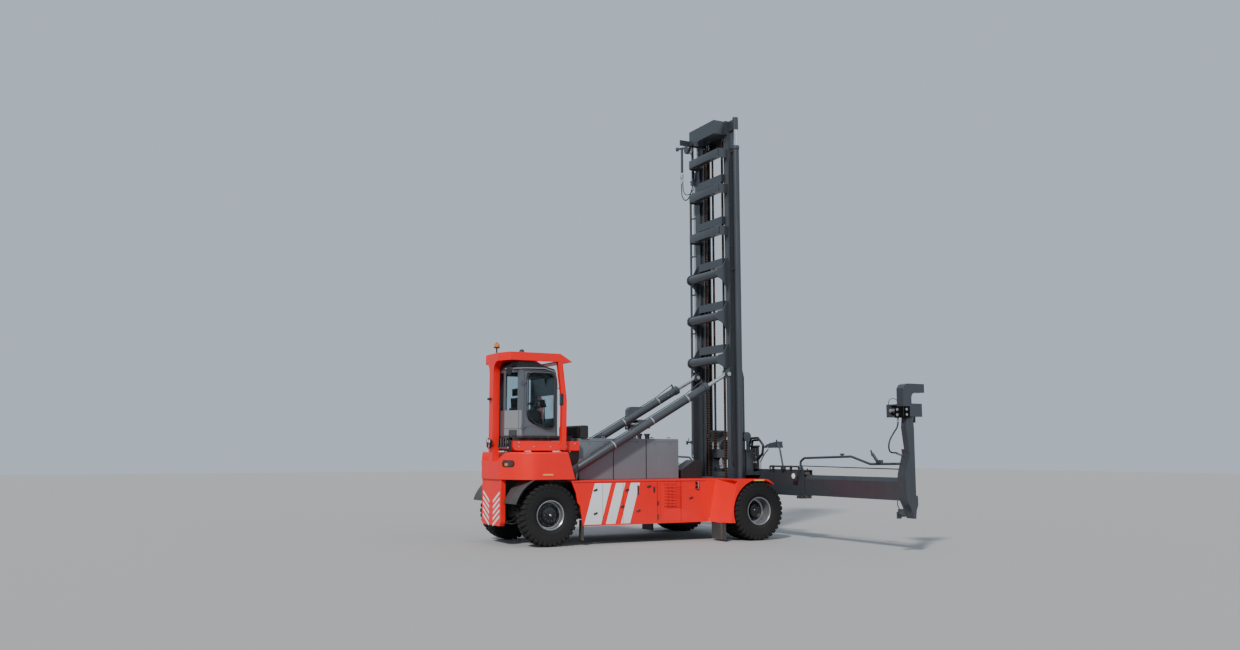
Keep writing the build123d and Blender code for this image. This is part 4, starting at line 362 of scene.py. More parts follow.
# Black strips under the louvre hoods: painted shade for the air slots
for row in range(louvre_rows):
    low = 0.808 + row * louvre_pitch
    side_plate(0.172, low, 0.48, low + 0.008, 0.0022)
# Black strips for four upright slots: painted shade for the openings
for slot_x, low, high in ((-0.53, 1.09, 1.31), (-0.005, 0.84, 0.94), (-0.005, 0.52, 0.64),
        (-0.1, 1.14, 1.27)):
    side_plate(slot_x - 0.022, low, slot_x + 0.022, high, 0.003)
mirror_across()
piece_from("panel_shut_lines_and_slot_shade", black_trim)
for latch_x, latch_z in ((-0.81, 1.21), (-0.94, 0.84), (-0.52, 0.735), (-0.24, 1.28), (-1.62, 1.22),
        (-1.62, 0.7), (0.9, 1)):
    paddle = side_plate(latch_x - 0.05, latch_z - 0.022, latch_x + 0.05, latch_z + 0.022, 0.012)
    tip(paddle, (latch_x, -panel_y, latch_z), -0.35)
    round_bar((latch_x - 0.03, -panel_y - 0.016, latch_z), (latch_x - 0.03, -panel_y, latch_z), 0.012)
mirror_across()
piece_from("panel_latches", black_trim, edge=0.004)

# Grab handle ahead of the vents: a bent round bar, zinc plated, with both ends screwed into
# the panel; behind it a flat plate in darker red is painted shade for the pressed recess
zinc = finish_of("zinc_plate", (0.42, 0.43, 0.45), 0.38, 0.75, drift=0.12, ground=0.2,
    ledge=0.15, streak=0.1)
handle_x = 1.075
# Two discs and a plate, 3 mm proud, in darker red: painted shade standing in for the pressed recess round
# the handle
for end_z in (1.36, 1.22):
    round_bar((handle_x, -panel_y - 0.003, end_z), (handle_x, -panel_y, end_z), 0.052, 24)
side_plate(handle_x - 0.052, 1.22, handle_x + 0.052, 1.36, 0.003)
mirror_across()
piece_from("handle_recess_shade", finish_of("recess_shade", (0.28, 0.004, 0.003), 0.5, ground=0.08,
    ledge=0, streak=0))


def tube_line(name, points, radius, sides=3, resolution=5):
    """A round tube drawn smoothly along its control points, with its ends closed."""
    line = bpy.data.curves.new(name, "CURVE")
    line.dimensions = "3D"
    line.bevel_depth = radius
    line.bevel_resolution = sides
    line.use_fill_caps = True
    line.resolution_u = resolution
    run = line.splines.new("NURBS")
    run.points.add(len(points) - 1)
    for control, point in zip(run.points, points):
        control.co = (*point, 1)
    run.order_u = min(3, len(points))
    run.use_endpoint_u = True
    return line


def bent_pipe(points, radius, bend=0, sides=3):
    """A bent tube along its corner points. bend is the run kept for each corner."""
    route = [Vector(points[0])]
    for before, corner, after in zip(points, points[1:], points[2:]):
        corner = Vector(corner)
        route += [corner + (Vector(before) - corner).normalized() * bend, corner,
            corner + (Vector(after) - corner).normalized() * bend]
    route.append(Vector(points[-1]))
    line = tube_line("pipe_line", route, radius, sides)
    holder = bpy.data.objects.new("pipe_line", line)
    tube = bpy.data.meshes.new_from_object(holder)
    work.from_mesh(tube)
    bpy.data.objects.remove(holder)
    bpy.data.curves.remove(line)
    bpy.data.meshes.remove(tube)


bent_pipe([(handle_x, -panel_y, 1.37), (handle_x, -panel_y - 0.045, 1.36),
    (handle_x, -panel_y - 0.045, 1.22), (handle_x, -panel_y, 1.21)], 0.009, 0.015)
mirror_across()
piece_from("panel_handles", zinc)

# Plain film on the panels and the tail: three slanted white bands on each side,
# white warning strokes on the counterweight, amber strips over the wheels
white_film = finish_of("white_film", (0.66, 0.67, 0.68), 0.4, drift=0.04, ground=0.2,
    ledge=0.1, streak=0.1)
film_thickness = 0.0008
band_y = -panel_y - 0.0012
weight_x = -3.6012
for foot, wide in ((-1.9, 0.42), (-1.36, 0.24), (-0.98, 0.24)):
    flat_plate([(foot, band_y, 0.46), (foot + wide, band_y, 0.46), (foot + wide + 0.26, band_y, 1.37),
        (foot + 0.26, band_y, 1.37)], film_thickness)
mirror_across()
for stroke in range(5):
    low = 0.99 - stroke * 0.13
    for inner, outer in ((-0.12, -0.52), (0.12, 0.52)):
        flat_plate([(weight_x, inner, low), (weight_x, inner, low - 0.062),
            (weight_x, outer, low + 0.148), (weight_x, outer, low + 0.21)], film_thickness)
piece_from("white_bands", white_film)
amber_film = finish_of("amber_film", (0.75, 0.36, 0.06), 0.35, drift=0.05, ground=0.1)
side_plate(-2.906, 1.555, -2.666, 1.588, 0.006)
block((2.21, -2.076, 1.392), (2.5, -2.07, 1.424))
mirror_across()
piece_from("side_reflectors", amber_film, edge=0.002)

# Bolt heads on the cab platform and hood: zinc-plated hexagon bolts that hold the sheet
# steel to the frame, along the platform's edge and on top of the hood
for bolt_x, bolt_z in ((-3.23, 2.19), (-2.86, 2.19), (-2.45, 2.19), (-2.06, 2.19), (-3.23, 2.28),
        (-1.84, 2.26), (-2.24, 2.1), (-2.24, 2.28)):
    round_bar((bolt_x, -0.714, bolt_z), (bolt_x, -0.7, bolt_z), 0.017, 6)
for bolt_x, bolt_y in ((-3.3, 1.25), (-2.45, 1.25), (-2.2, 1.2), (-3.55, 0.75)):
    upright(bolt_x, -bolt_y, 2.07, 2.086, 0.02, 6)
mirror_across()
piece_from("body_bolts", zinc)

# Charcoal frame and running gear: welded plate and castings under the body, painted dark
# and with the most dust; the mudguards are grey sheet, the mudflaps sheet rubber
frame_paint = finish_of("frame_paint", (0.016, 0.017, 0.018), 0.55, ground=0.35, ledge=0.3,
    streak=0.25)
dress(frame_paint, 0.004, "chassis_frame", "equipment_boxes", "drive_motor", "drive_axle", "steer_axle",
    "knuckle_right", "knuckle_left", "cab_floor")
guard_grey = finish_of("mudguard_grey", (0.03, 0.031, 0.033), 0.55, ground=0.12,
    ledge=0.25, streak=0.15)
dress(guard_grey, 0.006, "rear_mudguards")
flap_rubber = finish_of("flap_rubber", (0.013, 0.013, 0.013), 0.8, ground=0.12,
    streak=0.25)
dress(flap_rubber, 0.003, "mudflaps")

# Battery boxes between cab and mast: three grey painted steel boxes side by side, each lid
# with shut lines, toggle latches and small vents
box_paint = finish_of("box_paint", (0.118, 0.131, 0.15), 0.42, ground=0.1, ledge=0.2,
    streak=0.1)
dress(box_paint, 0.012, "battery_boxes")
box_side = 0.56
box_top = 2.385
for seam_x in (-0.755, 0.135):
    block((seam_x - 0.006, -box_side - 0.002, 1.435), (seam_x + 0.006, -box_side, box_top))
for lid_rear, lid_front in ((-1.64, -0.775), (-0.735, 0.115), (0.155, 1.025)):
    block((lid_rear, -box_side - 0.001, 2.315), (lid_front, -box_side, 2.319))
mirror_across()
for vent_x in (-0.1, 0.32):
    upright(vent_x, -0.3, box_top, 2.43, 0.02)
for cap_x, cap_y in ((0.42, 0.3), (0.66, 0.34)):
    upright(cap_x, cap_y, box_top, 2.5, 0.055)
    upright(cap_x, cap_y, 2.48, 2.53, 0.075)
piece_from("box_trim", black_trim)
for toggle_x in (-1.4, -1, -0.52, -0.1, 0.36, 0.8):
    block((toggle_x - 0.016, -box_side - 0.012, 2.27), (toggle_x + 0.016, -box_side, 2.35))
mirror_across()
for hook_x in (-1.45, -0.95, -0.55, -0.05, 0.35, 0.85):
    for hook_y in (-0.4, 0.4):
        bent_pipe([(hook_x - 0.04, hook_y, box_top), (hook_x - 0.04, hook_y, 2.43),
            (hook_x + 0.04, hook_y, 2.43), (hook_x + 0.04, hook_y, box_top)], 0.007, 0.015)
piece_from("box_toggles", box_paint, edge=0.002)

# Black plastic and dark covers: cab roof shell, electrical box, valve cover, steering column.
# Moulded or textured sheet; the electrical box has cooling fins front and back
black_plastic = finish_of("black_plastic", (0.008, 0.008, 0.009), 0.48, peel_scale=700,
    ledge=0.12, streak=0.05)
dress(black_plastic, 0.008, "cab_roof", "charger_box", "valve_cover", "steering_console", "seat_base")
for fin in range(22):
    fin_y = -0.54 + fin * 0.0514
    for fin_rear in (-1.437, -1.665):
        block((fin_rear, fin_y, 2.44), (fin_rear + 0.012, fin_y + 0.02, 2.64))
piece_from("electrical_box_fins", black_plastic)

# Tyres: block-tread industrial radials, moulded black rubber. The carcass is spun from its
# section, and staggered lugs run round both shoulders.
carcass = [(-150, 331), (-168, 350), (-176, 392), (-180, 396), (-183, 440), (-186.2, 500), (-184, 545),
    (-180, 575), (-170, 610), (-155, 642), (-130, 658), (0, 662)]
# For each lug station: axial and radial place of the face and of the root, lean, half width
lug_stations = (((0.01, 0.6865), (0.01, 0.65), -0.016, 0.03),
    ((0.092, 0.6868), (0.092, 0.648), -0.004, 0.033), ((0.15, 0.683), (0.146, 0.64), 0.008, 0.037),
    ((0.18, 0.652), (0.164, 0.622), 0.012, 0.035), ((0.1868, 0.596), (0.172, 0.59), 0.012, 0.03),)
lugs_round = 34
mm = 0.001
rear_tyre_y = 1.147
twin_tyre_y = (1.8825, 1.4325)
hands = (("right", -1), ("left", 1))


def turned(centre, axis, profile, steps=48, closed=False):
    """Spin a profile, (along, out) in millimetres, about an axis through centre."""
    centre = Vector(centre)
    axis = Vector(axis).normalized()
    outwards = axis.orthogonal().normalized()
    ring = [work.verts.new(centre + (axis * along + outwards * radius) * mm) for along, radius in profile]
    runs = list(zip(ring, ring[1:])) + ([(ring[-1], ring[0])] if closed else [])
    edges = [work.edges.new(run) for run in runs]
    bmesh.ops.spin(work, geom=ring + edges, cent=centre, axis=axis, dvec=(0, 0, 0), angle=2 * math.pi,
        steps=steps, use_merge=True)


def tread_lug(hand):
    """One lug at the top of a wheel whose axle is the origin: a bar extruded from crown to sidewall."""
    bm = bmesh.new()
    face = None
    for (outer_a, outer_r), (root_a, root_r), lean, half in lug_stations:
        ring = [Vector((x, hand * y, z)) for x, y, z in ((lean - half, outer_a, outer_r),
            (lean + half, outer_a, outer_r), (lean + half + 0.004, root_a, root_r),
            (lean - half - 0.004, root_a, root_r))]
        if face is None:
            face = bm.faces.new([bm.verts.new(point) for point in ring])
        else:
            grown = bmesh.ops.extrude_face_region(bm, geom=[face])["geom"]
            face = next(part for part in grown if isinstance(part, bmesh.types.BMFace))
            for corner in face.verts:
                nearest = min(range(4), key=lambda index: (last_ring[index] - corner.co).length)
                corner.co = ring[nearest]
        last_ring = ring
    mesh = bpy.data.meshes.new("tread_lug")
    bm.to_mesh(mesh)
    bm.free()
    return mesh


def tyre_rubber(name, axle_x):
    """Black rubber with moulded rings on the sidewall about that axle, and dust in the tread."""
    rubber = finish_of(name, (0.0065, 0.0065, 0.007), 0.8, ground=0.035, ledge=0.03, streak=0,
        reach=1.5, peel_scale=500, specular=0.3)
    tree = rubber.node_tree
    centred = tree.nodes.new("ShaderNodeMapping")
    centred.inputs["Location"].default_value = (-axle_x, 0, -axle_z)
    centred.inputs["Scale"].default_value = (1, 0, 1)
    tree.links.new(object_place(tree), centred.inputs["Vector"])
    distance = tree.nodes.new("ShaderNodeVectorMath")
    distance.operation = "LENGTH"
    tree.links.new(centred.outputs["Vector"], distance.inputs[0])
    add_relief(rubber, math_node(tree, "SINE", math_node(tree, "MULTIPLY", distance.outputs["Value"],
        420)), 0.5, 0.0015)
    return rubber


def tyre_into(centre):
    section = carcass + [(-along, radius) for along, radius in reversed(carcass[:-1])]
    turned(centre, (0, 1, 0), section, 68, True)
    for hand, lug in lugs.items():
        for step in range(lugs_round):
            angle = 2 * math.pi * (step + (0.5 if hand > 0 else 0)) / lugs_round
            known = set(work.verts)
            work.from_mesh(lug)
            bmesh.ops.transform(work, matrix=Matrix.Translation(centre) @ Matrix.Rotation(angle, 4, "Y"),
                verts=[vert for vert in work.verts if vert not in known])


lugs = {hand: tread_lug(hand) for hand in (-1, 1)}
rear_rubber = tyre_rubber("tyre_rubber_rear", rear_axle_x)
front_rubber = tyre_rubber("tyre_rubber_front", front_axle_x)
for side, sign in hands:
    tyre_into((rear_axle_x, sign * rear_tyre_y, axle_z))
    piece_from(f"steered_tyre_{side}", rear_rubber, f"rear_wheel_{side}", stands_for=f"rear_tyre_{side}",
        crease=40)
    for twin_y in twin_tyre_y:
        tyre_into((front_axle_x, sign * twin_y, axle_z))
    piece_from(f"driven_tyres_{side}", front_rubber, f"front_wheel_{side}",
        stands_for=f"front_tyres_{side}", crease=40)

# Rims: rolled steel barrels with a bright lip, black cast hub and a ring of wheel nuts.
# The twin wheel's outer rim is a deep silver dish round the planetary hub.
rim_silver = finish_of("rim_silver", (0.3, 0.31, 0.33), 0.3, 0.7, drift=0.1, ground=0.12,
    streak=0.1)
hub_black = finish_of("hub_black", (0.0045, 0.0048, 0.0055), 0.3, ground=0.025, ledge=0.05,
    streak=0.02)
nut_steel = finish_of("nut_steel", (0.1, 0.1, 0.105), 0.35, 0.8, drift=0.25, ground=0.1)


def ring_of_bolts(centre, ring_radius, count, start, end, radius, sides, turn=0):
    """Bolts round a wheel's axle, each from start to end, measured outwards from the wheel's centre."""
    x, y, z = centre
    for step in range(count):
        angle = 2 * math.pi * step / count + turn
        across = x + ring_radius * math.cos(angle)
        up = z + ring_radius * math.sin(angle)
        round_bar((across, y + start, up), (across, y + end, up), radius, sides)


out = (0, 1, 0)
for side, hand in hands:
    centre = (rear_axle_x, rear_tyre_y, axle_z)
    wheel = f"rear_wheel_{side}"
    turned(centre, out, [(-167, 329.5), (160, 329.5), (172, 326), (174, 316), (160, 300), (100, 290),
        (52, 286), (44, 262), (32, 262), (30, 300), (-167, 310)], 64, True)
    piece_from(f"steered_rim_{side}", rim_silver, wheel, hand=hand)
    turned(centre, out, [(168, 0), (168, 30), (160, 36), (138, 40), (134, 70), (120, 76), (118, 150),
        (104, 172), (66, 182), (58, 205), (78, 225), (74, 246), (56, 262), (46, 261.5), (40, 230),
        (30, 190), (-88, 120), (-90, 78), (78, 78), (80, 0)], 56)
    piece_from(f"steered_hub_{side}", hub_black, wheel, stands_for=f"rear_rim_{side}", hand=hand)
    ring_of_bolts(centre, 0.128, 10, 0.112, 0.134, 0.016, 6)
    ring_of_bolts(centre, 0.128, 10, 0.112, 0.146, 0.009, 12)
    ring_of_bolts(centre, 0.222, 10, 0.06, 0.094, 0.013, 6, 0.31)
    piece_from(f"steered_wheel_nuts_{side}", nut_steel, wheel, hand=hand)
    turned(centre, out, [(185, 0), (183, 16), (174, 26), (166, 28)], 24)
    piece_from(f"steered_hub_cap_{side}", rim_silver, wheel, hand=hand)

    centre = (front_axle_x, twin_tyre_y[0], axle_z)
    wheel = f"front_wheel_{side}"
    turned(centre, out, [(-617, 329.5), (160, 329.5), (167, 326), (167.2, 318), (156, 304), (120, 297),
        (-60, 290), (-92, 284), (-104, 262), (-106, 196), (-130, 196), (-132, 296), (-617, 306)], 72,
        True)
    piece_from(f"driven_rim_{side}", rim_silver, wheel, hand=hand)
    turned(centre, out, [(36, 0), (36, 45), (26, 55), (20, 120), (6, 150), (-60, 168), (-86, 178),
        (-98, 240), (-104, 240.5), (-108, 195), (-134, 170), (-505, 150), (-508, 98), (-278, 96),
        (-276, 0)], 56)
    piece_from(f"driven_hub_{side}", hub_black, wheel, stands_for=f"front_rim_{side}", hand=hand)
    ring_of_bolts(centre, 0.214, 12, -0.1, -0.074, 0.016, 6)
    ring_of_bolts(centre, 0.214, 12, -0.1, -0.058, 0.009, 12)
    ring_of_bolts(centre, 0.095, 8, 0.015, 0.034, 0.01, 6)
    bent_pipe([(front_axle_x + 0.2, (twin_tyre_y[0] - 0.09), axle_z - 0.21),
        (front_axle_x + 0.2, (twin_tyre_y[0] + 0.02), axle_z - 0.21)], 0.006)
    piece_from(f"driven_wheel_nuts_{side}", nut_steel, wheel, hand=hand)

# Cab: welded steel frame and sheet in grey metallic, with lighter corner panels,
# tinted safety glass set in black seals, and a hinged door
cab_paint = finish_of("cab_paint", (0.088, 0.098, 0.114), 0.36, 0.3, coat=0.2, ground=0.05,
    ledge=0.12, streak=0.05)
dress(cab_paint, 0.006, "cab_rear_wall", "cab_left_wall", "cab_right_frame", "cab_front_frame",
    "cab_door")
glass = plain_finish("tinted_glass", {"Base Color": (0.66, 0.77, 0.8, 1), "Roughness": 0.02,
    "Transmission Weight": 1, "IOR": 1.15})
dress(glass, 0, "cab_glass", "door_glass")
cab_silver = finish_of("cab_silver", (0.235, 0.24, 0.25), 0.36, 0.3, coat=0.15, drift=0.06,
    ground=0.05, ledge=0.1, streak=0.05)
bevel_rear = Vector((-3.455, -0.352, 0))
bevel_front = Vector((-3.237, -0.698, 0))
bevel_out = Vector((bevel_front.y - bevel_rear.y, bevel_rear.x - bevel_front.x, 0)).normalized()
for low, high in ((2.6, 3.005), (2.445, 2.588)):
    foot_rear = bevel_rear.lerp(bevel_front, 0.03) + bevel_out * 0.001
    foot_front = bevel_rear.lerp(bevel_front, 0.97) + bevel_out * 0.001
    flat_plate([foot_rear + Vector((0, 0, low)), foot_front + Vector((0, 0, low)),
        foot_front + Vector((0, 0, high)), foot_rear + Vector((0, 0, high))], 0.006)
    block((-3.236, -0.7065, low), (-3.168, -0.7005, high))
mirror_across()
piece_from("cab_corner_panels", cab_silver, edge=0.002)
for low, high in (((-3.36, -0.655, 2.323), (-1.9, -0.64, 2.437)),
        ((-3.375, -0.5, 2.323), (-3.36, 0.5, 2.437))):
    block(low, high)
mirror_across()
piece_from("cab_floor_skirt", flap_rubber)
seal_outline = [(-3.03, 2.98), (-3.03, 3.78), (-3, 3.84), (-2.93, 3.862), (-2.47, 3.862), (-2.4, 3.84),
    (-2.366, 3.76), (-2.366, 2.67), (-2.39, 2.6), (-2.45, 2.588), (-2.56, 2.6), (-2.86, 2.72),
    (-2.98, 2.83), (-3.02, 2.9)]
for start, end in zip(seal_outline, seal_outline[1:] + seal_outline[:1]):
    round_bar((start[0], -0.742, start[1]), (end[0], -0.742, end[1]), 0.016, 8)
piece_from("door_glass_seal", black_trim, "door")
block((-3.44, -0.62, 2.1), (-3.362, 0.62, 2.34))
for station in range(9):
    rack_y = -0.6 + station * 0.15
    bent_pipe([(-3.44, rack_y, 2.16), (-3.49, rack_y + 0.01, 2.2), (-3.48, rack_y + 0.05, 2.36),
        (-3.4, rack_y + 0.08, 2.4)], 0.02, 0.03)
piece_from("platform_hose_rack", black_trim)
for station in range(9):
    rack_y = -0.6 + station * 0.15
    round_bar((-3.44, rack_y, 2.16), (-3.47, rack_y, 2.175), 0.027, 6)
round_bar((-3.44, -0.52, 2.29), (-3.475, -0.52, 2.29), 0.045, 20)
piece_from("hose_rack_fittings", zinc)
for slat in range(8):
    height = 2.452 + slat * 0.016
    start = bevel_rear.lerp(bevel_front, 0.35) + bevel_out * 0.008 + Vector((0, 0, height))
    end = bevel_rear.lerp(bevel_front, 0.9) + bevel_out * 0.008 + Vector((0, 0, height))
    round_bar(start, end, 0.004, 6)
mirror_across()
piece_from("cab_vent_grille", black_trim)

# Rain gutters over the cab's sides and the mirrors: bright bent rods under the roof's edge,
# and black plastic mirror heads on bent tube stalks with glass faces
bent_pipe([(-3.5, -0.5, 3.95), (-3.42, -0.7, 3.945), (-3.1, -0.735, 3.965), (-2.62, -0.735, 3.975),
    (-2.36, -0.715, 3.9)], 0.012, 0.05)
mirror_across()
piece_from("cab_gutter_rails", zinc)
bent_pipe([(-2.3, 0.68, 3.55), (-2.22, 0.74, 3.5), (-2.2, 0.74, 3.4)], 0.009, 0.03)
block((-2.225, 0.67, 3.14), (-2.185, 0.81, 3.4))
mirror_across()
bent_pipe([(-3.3, -0.6, 3.96), (-3.42, -0.72, 3.96), (-3.5, -0.76, 3.93)], 0.014, 0.03)
turned((-3.505, -0.755, 3.875), (-1, -0.4, -0.2), [(-30, 0), (-28, 50), (-10, 85), (12, 88), (12, 0)], 24)
piece_from("cab_mirrors", black_trim, edge=0.006)
mirror_silver = plain_finish("mirror_silver",
    {"Base Color": (0.8, 0.82, 0.84, 1), "Metallic": 1, "Roughness": 0.05})
block((-2.2265, 0.68, 3.15), (-2.225, 0.8, 3.39))
mirror_across()
piece_from("cab_mirror_faces", mirror_silver)

# Inside the cab: steering wheel on its column, side consoles with a joystick, a screen on its
# stalk and the trim over the windscreen, all moulded black plastic bolted to the floor
turned((-2.62, 0, 3.215), (-0.35, 0, 1), [(12 * math.cos(k * math.pi / 4),
    185 + 14 * math.sin(k * math.pi / 4)) for k in range(8)], 40, True)
for spoke in range(3):
    angle = 2 * math.pi * spoke / 3 + 0.5
    round_bar((-2.62, 0, 3.205), (-2.62 + 0.175 * math.cos(angle), 0.18 * math.sin(angle),
        3.205 + 0.062 * math.cos(angle)), 0.011, 10)
round_bar((-2.6, 0, 3.16), (-2.625, 0, 3.225), 0.045, 20)
block((-3, -0.36, 2.8), (-2.6, -0.28, 3.02))
round_bar((-2.66, -0.32, 3.02), (-2.64, -0.32, 3.13), 0.012, 10)
round_bar((-2.64, -0.32, 3.12), (-2.635, -0.32, 3.19), 0.026, 14, 0.02)
block((-3, 0.28, 2.8), (-2.6, 0.36, 3.02))
screen = block((-2.46, -0.42, 3.1), (-2.43, -0.16, 3.28))
tip(screen, (-2.45, -0.3, 3.1), -0.3)
round_bar((-2.42, -0.29, 2.76), (-2.445, -0.29, 3.14), 0.014, 10)
block((-2.55, -0.6, 3.8), (-2.35, 0.6, 3.86))
piece_from("cab_fittings", black_plastic, edge=0.006)

# Operator's seat: two foam cushions and a headrest in dark cloth with red-brown side bolsters,
# sewn in channels; foam bulges between the seams and pulls in along the sides
seat_fabric = finish_of("seat_fabric", (0.02, 0.017, 0.018), 0.92, drift=0.25, peel=0.0015,
    peel_scale=420, drift_scale=9, ledge=0.05)
belt_red = finish_of("belt_red", (0.3, 0.015, 0.012), 0.8, peel=0.001, peel_scale=600,
    ledge=0, streak=0)


def cushion(name, low, high, crown, lean, channels, finish, stands_for=None):
    """A stuffed pad between two corners: crowned faces, pulled-in sides and sewn channels."""
    bmesh.ops.create_cube(work, size=2)
    bmesh.ops.subdivide_edges(work, edges=work.edges[:], cuts=13, use_grid_fill=True)
    half = Vector([(b - a) / 2 for a, b in zip(low, high)])
    middle = Vector([(a + b) / 2 for a, b in zip(low, high)])
    thin = min(range(3), key=lambda index: half[index])
    across = [index for index in range(3) if index != thin]
    for vert in work.verts:
        u, v = vert.co[across[0]], vert.co[across[1]]
        side = vert.co[thin]
        dome = (1 - u ** 4) * (1 - v ** 4)
        sewn = min([abs(v - line) for line in channels] + [1])
        groove = max(0, 1 - sewn / 0.13) * 0.35
        thickness = side * (half[thin] - crown * (1 - dome) - crown * groove * dome)
        tuck = 0.035 * (abs(u) ** 6 * (1 - v * v) + abs(v) ** 6 * (1 - u * u))
        place = Vector((0, 0, 0))
        place[across[0]] = u * half[across[0]] * (1 - (tuck if abs(u) > 0.9 else 0))
        place[across[1]] = v * half[across[1]] * (1 - (tuck if abs(v) > 0.9 else 0))
        place[thin] = thickness
        vert.co = place + middle
    if lean:
        tip(work.verts, middle, lean)
    made = piece_from(name, finish, stands_for=stands_for, crease=80)
    rounding = made.modifiers.new("stuffing", "SUBSURF")
    rounding.levels = 1
    rounding.render_levels = 1
    return made


cushion("seat_cushion", (-3.05, -0.235, 2.764), (-2.605, 0.235, 2.87), 0.03, 0, (-0.45, 0.45),
    seat_fabric, "seat_cushions")
cushion("back_cushion", (-3.085, -0.225, 2.885), (-2.985, 0.225, 3.325), 0.028, -0.07, (-0.4, 0.4),
    seat_fabric)
cushion("head_rest", (-3.088, -0.14, 3.365), (-3.008, 0.14, 3.535), 0.022, -0.04, (), seat_fabric)
block((-2.985, -0.2, 2.95), (-2.965, -0.15, 3.32))
block((-2.985, 0.15, 2.95), (-2.965, 0.2, 3.32))
tip(work.verts, (-2.98, 0, 3.1), -0.07)
piece_from("seat_side_bolsters", belt_red, edge=0.006)

# Mast, cylinders, carriage and spreader: rolled channels, tubes and plate welded together,
# sprayed anthracite. Chromed rods slide in them. The anthracite is given a blue cast as painted
# reflection of sky and white walls, and its pale blue-grey on upward faces stands for dust and painted
# sky reflection together.
mast_paint = finish_of("mast_paint", (0.031, 0.037, 0.045), 0.36, coat=0.15, ground=0.06,
    ledge=0.22, streak=0.06, dust_and_sheen_colour=(0.2, 0.22, 0.24))
dress(mast_paint, 0.004, "outer_mast", "inner_mast", "mast_header", "lift_barrels", "carriage",
    "spreader_housing", "tilt_barrel_right", "tilt_barrel_left", "telescopic_beam_right",
    "telescopic_beam_left", "end_arm_right", "end_arm_left", "lock_head_right", "lock_head_left")
rod_chrome = finish_of("rod_chrome", (0.72, 0.73, 0.75), 0.12, 1, drift=0.03, peel=0.0001,
    ledge=0.03, streak=0.02, ground=0)
dress(rod_chrome, 0, "lift_rods", "tilt_rod_right", "tilt_rod_left")

# Leaf chains: stacked steel link plates on pins, greased and browned; the plates show as
# short waisted bands along the strand
chain_steel = finish_of("chain_steel", (0.07, 0.035, 0.02), 0.55, 0.4, drift=0.45,
    peel=0.003, drift_scale=5, ledge=0.1)
chain_tree = chain_steel.node_tree
link_pitch = 0.064
link_wave = math_node(chain_tree, "SINE", math_node(chain_tree, "MULTIPLY",
    height_of(chain_tree, object_place(chain_tree)), 2 * math.pi / link_pitch))
add_relief(chain_steel, link_wave, 1, 0.01)
dress(chain_steel, 0, "inner_chains", "outer_chains")

# Tilt cylinders: three zinc clamps hold a thin steel pipe along the top of each barrel,
# and a banjo fitting feeds the gland
tilt_base = Vector((-1.96, 0, 1.6))
tilt_eye = Vector((2.37, 0, 4.02))
tilt_run = (tilt_eye - tilt_base).normalized()
tilt_up = Vector((-tilt_run.z, 0, tilt_run.x))
clamp_half = Vector((0.018, 0.018, 0.012))


def on_barrel(along, up=0):
    """A point so far along the tilt cylinder and so far above its middle line."""
    return tilt_base + tilt_run * along + tilt_up * up


for side, hand in hands:
    tilt_base.y = hand * 0.72
    for along in (1.28, 2.47, 3.61):
        turned(on_barrel(along), tilt_run, [(-16, 97.5), (-16, 103), (16, 103), (16, 97.5)], 32, True)
        block(on_barrel(along, 0.112) - clamp_half, on_barrel(along, 0.112) + clamp_half)
        round_bar(on_barrel(along, 0.1), on_barrel(along, 0.138), 0.008, 8)
    piece_from(f"tilt_pipe_clamps_{side}", zinc, f"tilt_tube_{side}")
    bent_pipe([on_barrel(0.62, 0.075), on_barrel(0.66, 0.122), on_barrel(3.62, 0.122),
        on_barrel(4.08, 0.175), on_barrel(4.2, 0.175), on_barrel(4.2, 0.06)], 0.011, 0.03)
    round_bar(on_barrel(4.2, 0.09), on_barrel(4.2, 0.2), 0.022, 12)
    turned(on_barrel(4.235), tilt_run, [(-60, 0), (-60, 108), (-50, 113), (30, 113), (45, 100), (45, 0)],
        32)
    for bolt in range(8):
        turn = 2 * math.pi * bolt / 8
        spot = on_barrel(4.275, 0.082 * math.cos(turn)) + Vector((0, 0.082 * math.sin(turn), 0))
        round_bar(spot, spot + tilt_run * 0.018, 0.01, 6)
    piece_from(f"tilt_pipes_{side}", mast_paint, f"tilt_tube_{side}")

# Pipes up the back of the mast: two plain steel lines beside the left upright and a black
# hose run by the right, held by clips, with a bracket for the free hoses at the top
for line_y, low, high in ((0.845, 1.75, 9.55), (0.895, 1.75, 9.75)):
    bent_pipe([(2.62, line_y, low - 0.12), (2.47, line_y, low), (2.47, line_y, high)], 0.017, 0.05)
piece_from("mast_side_pipes", zinc, "mast")
for level in range(8):
    clip_z = 2.05 + level * 1.05
    block((2.452, 0.795, clip_z), (2.492, 0.918, clip_z + 0.035))
    block((2.412, 0.905, clip_z), (2.455, 1.01, clip_z + 0.035))
    block((2.435, -0.842, clip_z), (2.47, -0.795, clip_z + 0.03))
piece_from("mast_pipe_clips", mast_paint, "mast", edge=0.004)
bent_pipe([(2.5, -0.8, 1.7), (2.448, -0.825, 1.8), (2.448, -0.825, 9.6)], 0.018, 0.05)
piece_from("mast_hose_run", black_trim, "mast")
upright(2.41, 0.86, 9.3, 10.44, 0.035)
block((2.36, 0.79, 9.28), (2.46, 0.9, 9.4))
round_bar((2.41, 0.8, 10.36), (2.41, 1.68, 10.52), 0.032)
round_bar((2.41, 0.86, 10.12), (2.41, 1.2, 10.42), 0.02)
turned((2.41, 1.12, 10.36), (1, 0, 0), [(-50, 0), (-50, 110), (-35, 125), (35, 125), (50, 110), (50, 0)],
    32)
block((2.38, 1.62, 10.46), (2.44, 1.7, 10.56))
upright(2.41, 1.41, 10.46, 9.78, 0.036)
piece_from("hose_bracket", mast_paint, "mast", edge=0.004)
upright(2.41, 1.41, 9.74, 9.62, 0.042, 12)
